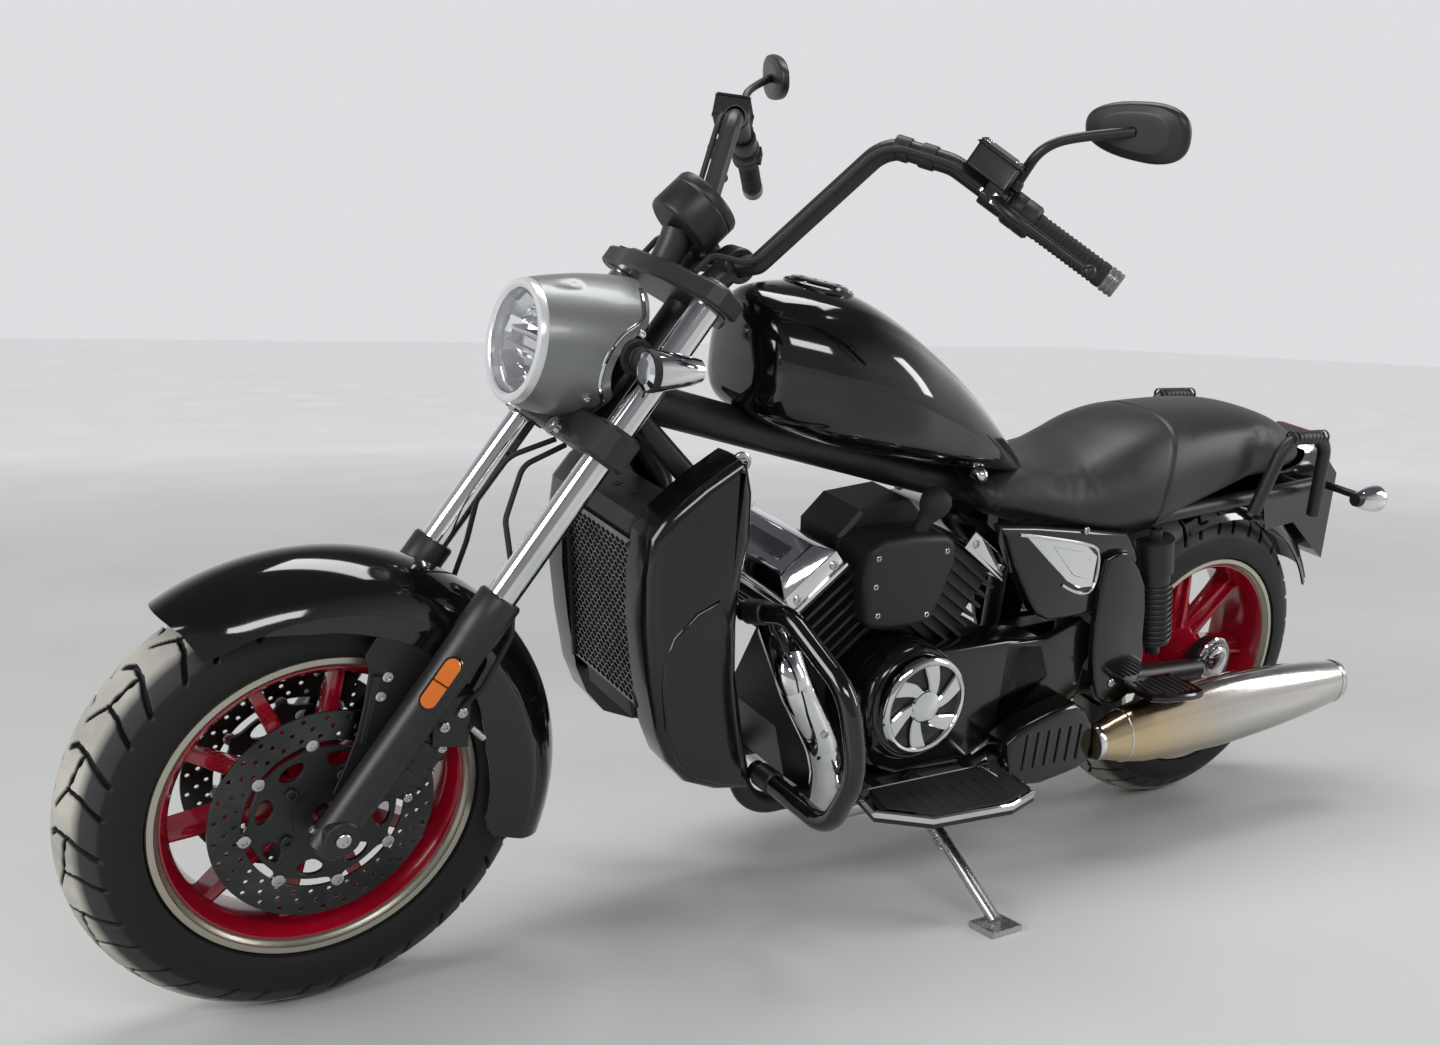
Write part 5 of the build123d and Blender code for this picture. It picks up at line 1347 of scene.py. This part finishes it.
# ---------------------------------------------------------------- swingarm
# A welded swingarm in satin black carries the rear wheel on a steel axle; a cast gear case
# stands on its left end with a ringed chromed dome over the hub, and the brake on its right.
dress(SATIN_BLACK, "swingarm")
dress(STEEL, "rear_axle")
dress(SATIN_BLACK, "rear_caliper")
shape = bmesh.new()
turned(shape, mm([(0, 0), (0, 45.5), (6, 45.5), (8.5, 43), (8.5, 40), (6, 38.5), (10, 37), (13.5, 35),
                  (13.5, 32), (11.5, 30.5), (16, 29), (18.5, 26), (20.5, 20), (21.5, 10), (21.8, 0)]),
       facing((0, 0.1045, 0.3300), LEFT), 72)
piece("hub_dome", shape, CHROME, "chassis", "chrome", "final_drive_cover", crease=24)

# ---------------------------------------------------------------- rear shocks
# Twin shock absorbers: a ribbed black body below, running up into a glossy square-shouldered
# cover at the top mount.
dress(SATIN_BLACK, "rear_shocks")
SHOCK_TOP, SHOCK_FOOT = Vector((0.296, 0.150, 0.640)), Vector((0.238, 0.150, 0.392))
shock_line = (SHOCK_TOP - SHOCK_FOOT).normalized()
ribs = bmesh.new()
for step in range(11):
    turned(ribs, mm([(0, 29), (0, 33.5), (2.5, 35), (5, 33.5), (5, 29)]),
           facing(SHOCK_FOOT + shock_line * (0.032 + 0.011 * step), shock_line), 40, closed=True)
mirrored(ribs)
piece("shock_ribs", ribs, SATIN_BLACK, "chassis", "satin_black")

# ---------------------------------------------------------------- rear mudguard
# A pressed black mudguard over the rear wheel, ending in a moulded tail that carries the
# lamp; a pointed flap hangs from its tip.
dress(GLOSS_BLACK, "rear_fender")
shape = bmesh.new()
bolt(shape, (0.130, 0.0925, 0.660), LEFT, 0.008, 0.004)
bolt(shape, (-0.060, 0.0925, 0.690), LEFT, 0.006, 0.003)
mirrored(shape)
piece("rear_mudguard_bolts", shape, STEEL, "chassis", "steel")

# ---------------------------------------------------------------- tail lamp
# A red lens with a sloping back stands in a chromed surround on the tail. A small round
# clear light is let into its lower half.
TAIL_RED = finish("red_lens", {"Base Color": (0.42, 0.004, 0.008), "Roughness": 0.12, "Coat Weight": 0.6},
                  lambda place: {"Base Color": place.noise(60).blend((0.36, 0.003, 0.006),
                                                                     (0.48, 0.006, 0.010))})
TAIL_HOUSING = mm([(-205.5, 700), (-212.5, 767), (-250, 778.5), (-266, 770), (-284, 702), (-282, 654),
                   (-290, 641), (-260, 656)])
TAIL_LENS = mm([(-252, 777.5), (-257, 778.5), (-304, 751.5), (-324, 720), (-337, 690), (-333.5, 653.5),
                (-296, 642.5), (-286, 655), (-288, 702), (-269, 768)])
shape, strip = bmesh.new(), bmesh.new()
flat(shape, [TAIL_HOUSING], 0.0895, EDGE_ON, 0.003)
piece("tail_lamp_housing", shape, CHROME, "chassis", "chrome", "tail_lamp", crease=24)
shape = bmesh.new()
flat(shape, [TAIL_LENS], 0.0860, EDGE_ON, 0.005)
piece("tail_lens", shape, TAIL_RED, "chassis", "lens", crease=24)
turned(strip, mm([(0, 0), (0, 10), (2, 9), (2, 0)]), facing((-0.3315, 0, 0.668), (-1, 0, 0.1)), 24)
piece("tail_lamp_badge_light", strip, CLEAR, "chassis", "lens")

# ---------------------------------------------------------------- rear turn signals
# Chromed bullets on short dark stalks stand out on both sides of the tail, each with an
# amber lens facing backwards.
dress(SATIN_BLACK, "rear_turn_signals")
shape, lens = bmesh.new(), bmesh.new()
for hand in (1, -1):
    back = facing((-0.322, 0.178 * hand, 0.671), (-1, 0, 0.02))
    turned(shape, mm([(-70, 0), (-69, 6), (-64, 12.5), (-50, 19), (-30, 24.5), (-12, 27.5), (-2, 27.8),
                      (0, 26.2), (0, 0)]), back, 48)
    turned(lens, mm([(-1, 0), (-1, 25), (0.8, 25), (2.2, 21), (3, 12), (3.2, 0)]), back, 48)
piece("rear_signal_bullets", shape, CHROME, "chassis", "chrome", crease=30)
piece("rear_signal_lenses", lens, AMBER, "chassis", "lens")

# ---------------------------------------------------------------- grab loops
# Padded rails: steel tube wrapped in black vinyl, standing up either side of the pillion
# and ribbed across the top.
dress(LEATHER, "grab_loops")
shape = bmesh.new()
for hand in (1, -1):
    for step in range(9):
        spot = Vector((-0.014 - 0.012 * step, 0.172 * hand, 0.806))
        turned(shape, mm([(-3, 12.2), (-2, 13.8), (2, 13.8), (3, 12.2)]), facing(spot, (-1, 0, 0)), 32,
               closed=True)
piece("grab_loop_ribs", shape, LEATHER, "chassis", "leather", crease=180)

# ---------------------------------------------------------------- side covers
# Glossy moulded panels under the saddle, between the engine and the rear shocks. Each has a
# chromed inset with a bright strip bent round its edge, and three bright bolts.
SIDE_COVER = mm([(681, 671), (668, 645), (640, 598), (597, 538), (570, 505), (537, 488), (480, 488), (428, 491),
                 (395, 490), (373, 493), (352, 538), (332, 585), (346, 612), (376, 639), (470, 650),
                 (600, 665)])
shape, fixings = bmesh.new(), bmesh.new()
side_panel(shape, SIDE_COVER, 0.1345, 0.1592, 0.009)
mirrored(shape)
piece("side_cover_mouldings", shape, GLOSS_PLASTIC, "chassis", "gloss_plastic", "side_covers", crease=30)
shape = bmesh.new()
STRIP = mm([(640, 655), (470, 628), (436, 608), (437, 530), (486, 536), (520, 555)])
tube(shape, [(x, 0.1595, z) for x, z in STRIP], 0.0032, sides=2)
for x, z in ((0.409, 0.592), (0.419, 0.513), (0.483, 0.652)):
    bolt(fixings, (x, 0.1590, z), LEFT, 0.0065, 0.003)
INSERT = mm([(632, 657), (478, 626), (446, 602), (446, 545), (478, 546), (512, 562), (560, 600)])
inset = bmesh.new()
flat(inset, [INSERT], 0.003, at_side(0.1600), 0.001)
flat(inset, [mm([(560, 630), (486, 614), (462, 596), (462, 560), (500, 572)])], 0.002, at_side(0.1615), 0.0008)
mirrored(inset)
piece("side_cover_inserts", inset, CHROME, "chassis", "chrome")
mirrored(shape, fixings)
piece("side_cover_strips", shape, CHROME, "chassis", "chrome")
piece("side_cover_bolts", fixings, STEEL, "chassis", "steel")

# ---------------------------------------------------------------- passenger pegs
# Cast glossy brackets bolted to the frame behind the side covers, each holding a flat peg
# with a ribbed rubber top.
PEG_BRACKET = mm([(430, 598), (402, 609), (380, 609), (345, 576), (320, 540), (306, 490), (299, 440),
                  (289, 405), (287, 370), (296, 336), (311, 323), (332, 311), (352, 310), (378, 316),
                  (394, 331), (410, 365), (420, 400), (429, 440), (432, 484), (434, 540)])
PEG_PLATE = mm([(329, 172), (331, 210), (328, 247), (300, 260), (243, 268), (218, 267), (202, 260), (201, 220),
                (207, 172)])
shape = bmesh.new()
side_panel(shape, PEG_BRACKET, 0.1605, 0.1752, 0.006)
flat(shape, [PEG_PLATE], 0.0140, Matrix.Translation((0, 0, 0.3475)), 0.003)
mirrored(shape)
piece("peg_brackets", shape, GLOSS_PLASTIC, "chassis", "gloss_black", "passenger_pegs", crease=30)
shape, fixings = bmesh.new(), bmesh.new()
for step in range(7):
    at = 0.222 + 0.0155 * step
    beam(shape, (at, 0.186, 0.3545), (at, 0.252 if at < 0.28 else 0.243, 0.3545), UP, (0.003, 0.008),
         (0.003, 0.008), 0.0008)
for spot, out in (((0.366, 0.1760, 0.356), LEFT), ((0.3255, 0.206, 0.348), FORWARDS),
                  ((0.3255, 0.232, 0.348), FORWARDS)):
    bolt(fixings, spot, out, 0.0075 if out is LEFT else 0.005, 0.003)
mirrored(shape, fixings)
piece("peg_ribs", shape, RUBBER, "chassis", "rubber")
piece("peg_bolts", fixings, STEEL, "chassis", "steel")

# ---------------------------------------------------------------- handlebar
# One swept steel bar, satin black, clamped in two risers on the upper fork clamp; rubber
# grips end in grey ribbed weights.
dress(SATIN_BLACK, "handlebar")
BAR_END, BAR_TURN = Vector((0.853, 0.454, 1.135)), Vector((1.000, 0.280, 1.252))
along_grip = (BAR_END - BAR_TURN).normalized()
across_grip = along_grip.cross(UP).normalized()
across_grip = across_grip if across_grip.x > 0 else -across_grip
above_grip = across_grip.cross(along_grip)
above_grip = above_grip if above_grip.z > 0 else -above_grip


def on_grip(back, ahead=0.0, up=0.0):
    """Point beside the left end of the bar, measured back from its tip."""
    return BAR_END - along_grip * back + across_grip * ahead + above_grip * up


bands = bmesh.new()
BAR_CREST = Vector((1.058, 0.205, 1.266))
for share in (0.22, 0.62):
    turned(bands, mm([(-11, 15), (-11, 16.8), (-9, 17.5), (9, 17.5), (11, 16.8), (11, 15)]),
           facing(BAR_CREST.lerp(BAR_TURN, share), BAR_TURN - BAR_CREST), 40, closed=True)
mirrored(bands)
piece("bar_bands", bands, BLACK_PLASTIC, "fork", "black_plastic")
shape, ends = bmesh.new(), bmesh.new()
profile = mm([(0, 15), (0, 18), (4, 18)])
for step in range(14):
    at = 0.008 + 0.0072 * step
    profile += [(at, 0.0180), (at + 0.001, 0.0168), (at + 0.0034, 0.0168), (at + 0.0044, 0.0180)]
profile += mm([(112, 18), (117.5, 17.6), (117.5, 15)])
turned(shape, profile, facing(on_grip(0.1180), along_grip), 48, closed=True)
turned(ends, mm([(0, 0), (0, 16.5), (2, 18.8), (6, 18.8), (7, 17.5), (9, 17.5), (10, 18.8), (14, 18.8),
                 (15, 17.5), (17, 17.5), (18, 18.6), (20.5, 18), (21.8, 16), (21.8, 0)]),
       facing(on_grip(0), along_grip), 40)
mirrored(shape, ends)
piece("grip_rubbers", shape, RUBBER, "fork", "rubber", "grips", crease=30)
piece("bar_end_weights", ends, SILVER, "fork", "silver", crease=30)

# ---------------------------------------------------------------- hand controls
# Moulded switch housings, fluid reservoirs with flat screwed lids, and long black levers
# ending in a ball.
def ridge_box(shape, back_high, back_low, ahead, up, high, bevel, deep):
    """Bevelled box laid along the bar."""
    beam(shape, on_grip(back_high, ahead, up), on_grip(back_low, ahead, up), above_grip, (high, deep),
         (high, deep), bevel)


shape, housing, bright = bmesh.new(), bmesh.new(), bmesh.new()
turned(housing, mm([(0, 16.5), (0, 22.5), (4, 25), (20, 25), (21.5, 24.2), (23, 25), (41, 25), (45, 22),
                    (45, 16.5)]), facing(on_grip(0.164), along_grip), 48, closed=True)
ridge_box(housing, 0.155, 0.128, -0.0205, -0.002, 0.018, 0.002, 0.010)
ridge_box(housing, 0.152, 0.142, -0.0235, 0.002, 0.007, 0.001, 0.004)
turned(shape, mm([(0, 16.5), (0, 21.5), (3, 22), (34, 22), (37, 21.5), (37, 16.5)]),
       facing(on_grip(0.202), along_grip), 40, closed=True)
ridge_box(shape, 0.238, 0.174, 0.022, 0.034, 0.034, 0.005, 0.050)
ridge_box(shape, 0.2385, 0.1735, 0.022, 0.0535, 0.005, 0.0015, 0.0515)
ridge_box(shape, 0.200, 0.168, 0.022, 0.008, 0.020, 0.002, 0.022)
for back in (0.230, 0.182):
    for ahead in (0.006, 0.038):
        bolt(bright, on_grip(back, ahead, 0.0558), above_grip, 0.0032, 0.0008)
turned(bright, mm([(0, 0), (0, 7.5), (5, 7.5), (6, 6), (6, 0)]),
       facing(on_grip(0.200, 0.024, 0.002), -above_grip), 20)
LEVER_RUN = [on_grip(0.186, 0.020), on_grip(0.168, 0.048), on_grip(0.140, 0.0640), on_grip(0.090, 0.0585),
             on_grip(0.020, 0.052)]
tube(shape, LEVER_RUN, 0.0066, sides=4, thick=(1.15, 1.1, 1.0, 0.86, 0.72))
bmesh.ops.create_uvsphere(shape, u_segments=24, v_segments=14, radius=0.0096,
                          matrix=Matrix.Translation(on_grip(0.0205, 0.052)))
turned(bright, mm([(-7.5, 0), (-7.5, 6.5), (7.5, 6.5), (8.5, 5.5), (8.5, 0)]),
       facing(on_grip(0.180, 0.030), above_grip), 24)
mirrored(shape, housing, bright)
piece("levers_and_reservoirs", shape, SATIN_BLACK, "fork", "satin_black", "hand_controls", crease=35)
piece("switch_mouldings", housing, BLACK_PLASTIC, "fork", "black_plastic", "switch_housings", crease=35)
piece("control_fittings", bright, CHROME, "fork", "chrome")

# ---------------------------------------------------------------- mirrors
# Oval glasses in rounded black backs with a raised inner contour, on bent arms that stand
# on the lever clamps.
MIRROR_AT, MIRROR_FACE = Vector((0.836, 0.447, 1.329)), Vector((-0.93, -0.32, 0.14)).normalized()
face_side = UP.cross(MIRROR_FACE).normalized()
face_up = MIRROR_FACE.cross(face_side).normalized()
back_of = framed(face_side, face_up, MIRROR_FACE, MIRROR_AT)
WEDGE = 1 if face_side.y > 0 else -1


def oval(height, share):
    """Ring of the mirror's outline at a height over its middle plane."""
    ring_points = []
    for step in range(72):
        run, rise = math.cos(2 * math.pi * step / 72), math.sin(2 * math.pi * step / 72)
        run, rise = math.copysign(abs(run) ** 0.80, run), math.copysign(abs(rise) ** 0.80, rise)
        wedge = 0.86 + 0.14 * run * WEDGE
        ring_points.append(back_of @ Vector((0.0765 * share * run, 0.0450 * share * rise * wedge, height)))
    return ring_points


shape, glass = bmesh.new(), bmesh.new()
loft(shape, [oval(0.0085, 0.955), oval(0.0085, 0.985), oval(0.0060, 1.0), oval(0.0010, 0.995),
             oval(-0.0035, 0.955), oval(-0.0060, 0.88), oval(-0.0068, 0.74), oval(-0.0082, 0.70),
             oval(-0.0087, 0.62), oval(-0.0088, 0.40)])
loft(glass, [oval(0.0084, 0.945), oval(0.0089, 0.940), oval(0.0089, 0.80)])
ARM = [on_grip(0.172, 0, 0.0223), on_grip(0.172, 0, 0.040), Vector((0.938, 0.380, 1.292)),
       Vector((0.900, 0.405, 1.313)), MIRROR_AT - MIRROR_FACE * 0.006]
tube(shape, ARM, 0.0068, sides=4, thick=(1.30, 1.15, 1.0, 0.95, 1.1))
turned(shape, mm([(0, 4), (0, 11.5), (10, 10.5), (13, 8.5), (13, 4)]),
       facing(on_grip(0.172, 0, 0.0225), above_grip), 24, closed=True)
mirrored(shape, glass)
piece("mirror_backs", shape, SATIN_BLACK, "fork", "satin_black", "mirrors", crease=35)
piece("mirror_glasses", glass, MIRROR, "fork", "lens")

# ---------------------------------------------------------------- gauge pod
# One round instrument in a short black can, tilted towards the rider, with a dark glossy
# face; it stands on a bracket over the upper fork clamp.
GAUGE_AT = at_fork(0.962, 0.032, 0)
gauge_up = (UP_FORK * math.cos(0.2) - AHEAD * math.sin(0.2)).normalized()
GAUGE_LONG = 0.068
can = facing(GAUGE_AT - gauge_up * GAUGE_LONG / 2, gauge_up)
shape, face = bmesh.new(), bmesh.new()
turned(shape, mm([(0.5, 0), (0.5, 47), (3, 51.5), (8, 53.6), (48, 53.6), (50, 52.5), (52, 53.6), (62, 53.6),
                  (66.5, 51.5), (67.5, 48), (65.5, 47), (65.5, 0)]), can, 80)
turned(face, mm([(65, 0), (65, 46.5), (66.4, 46.5), (66.4, 0)]), can, 64)
tube(shape, [at_fork(0.852, 0.022, 0), at_fork(0.900, 0.024, 0), GAUGE_AT - gauge_up * 0.030], 0.0235, sides=5)
piece("gauge_can", shape, SATIN_BLACK, "fork", "satin_black", "gauge_pod", crease=26)
piece("gauge_glass", face, GLOSS_PLASTIC, "fork", "lens")
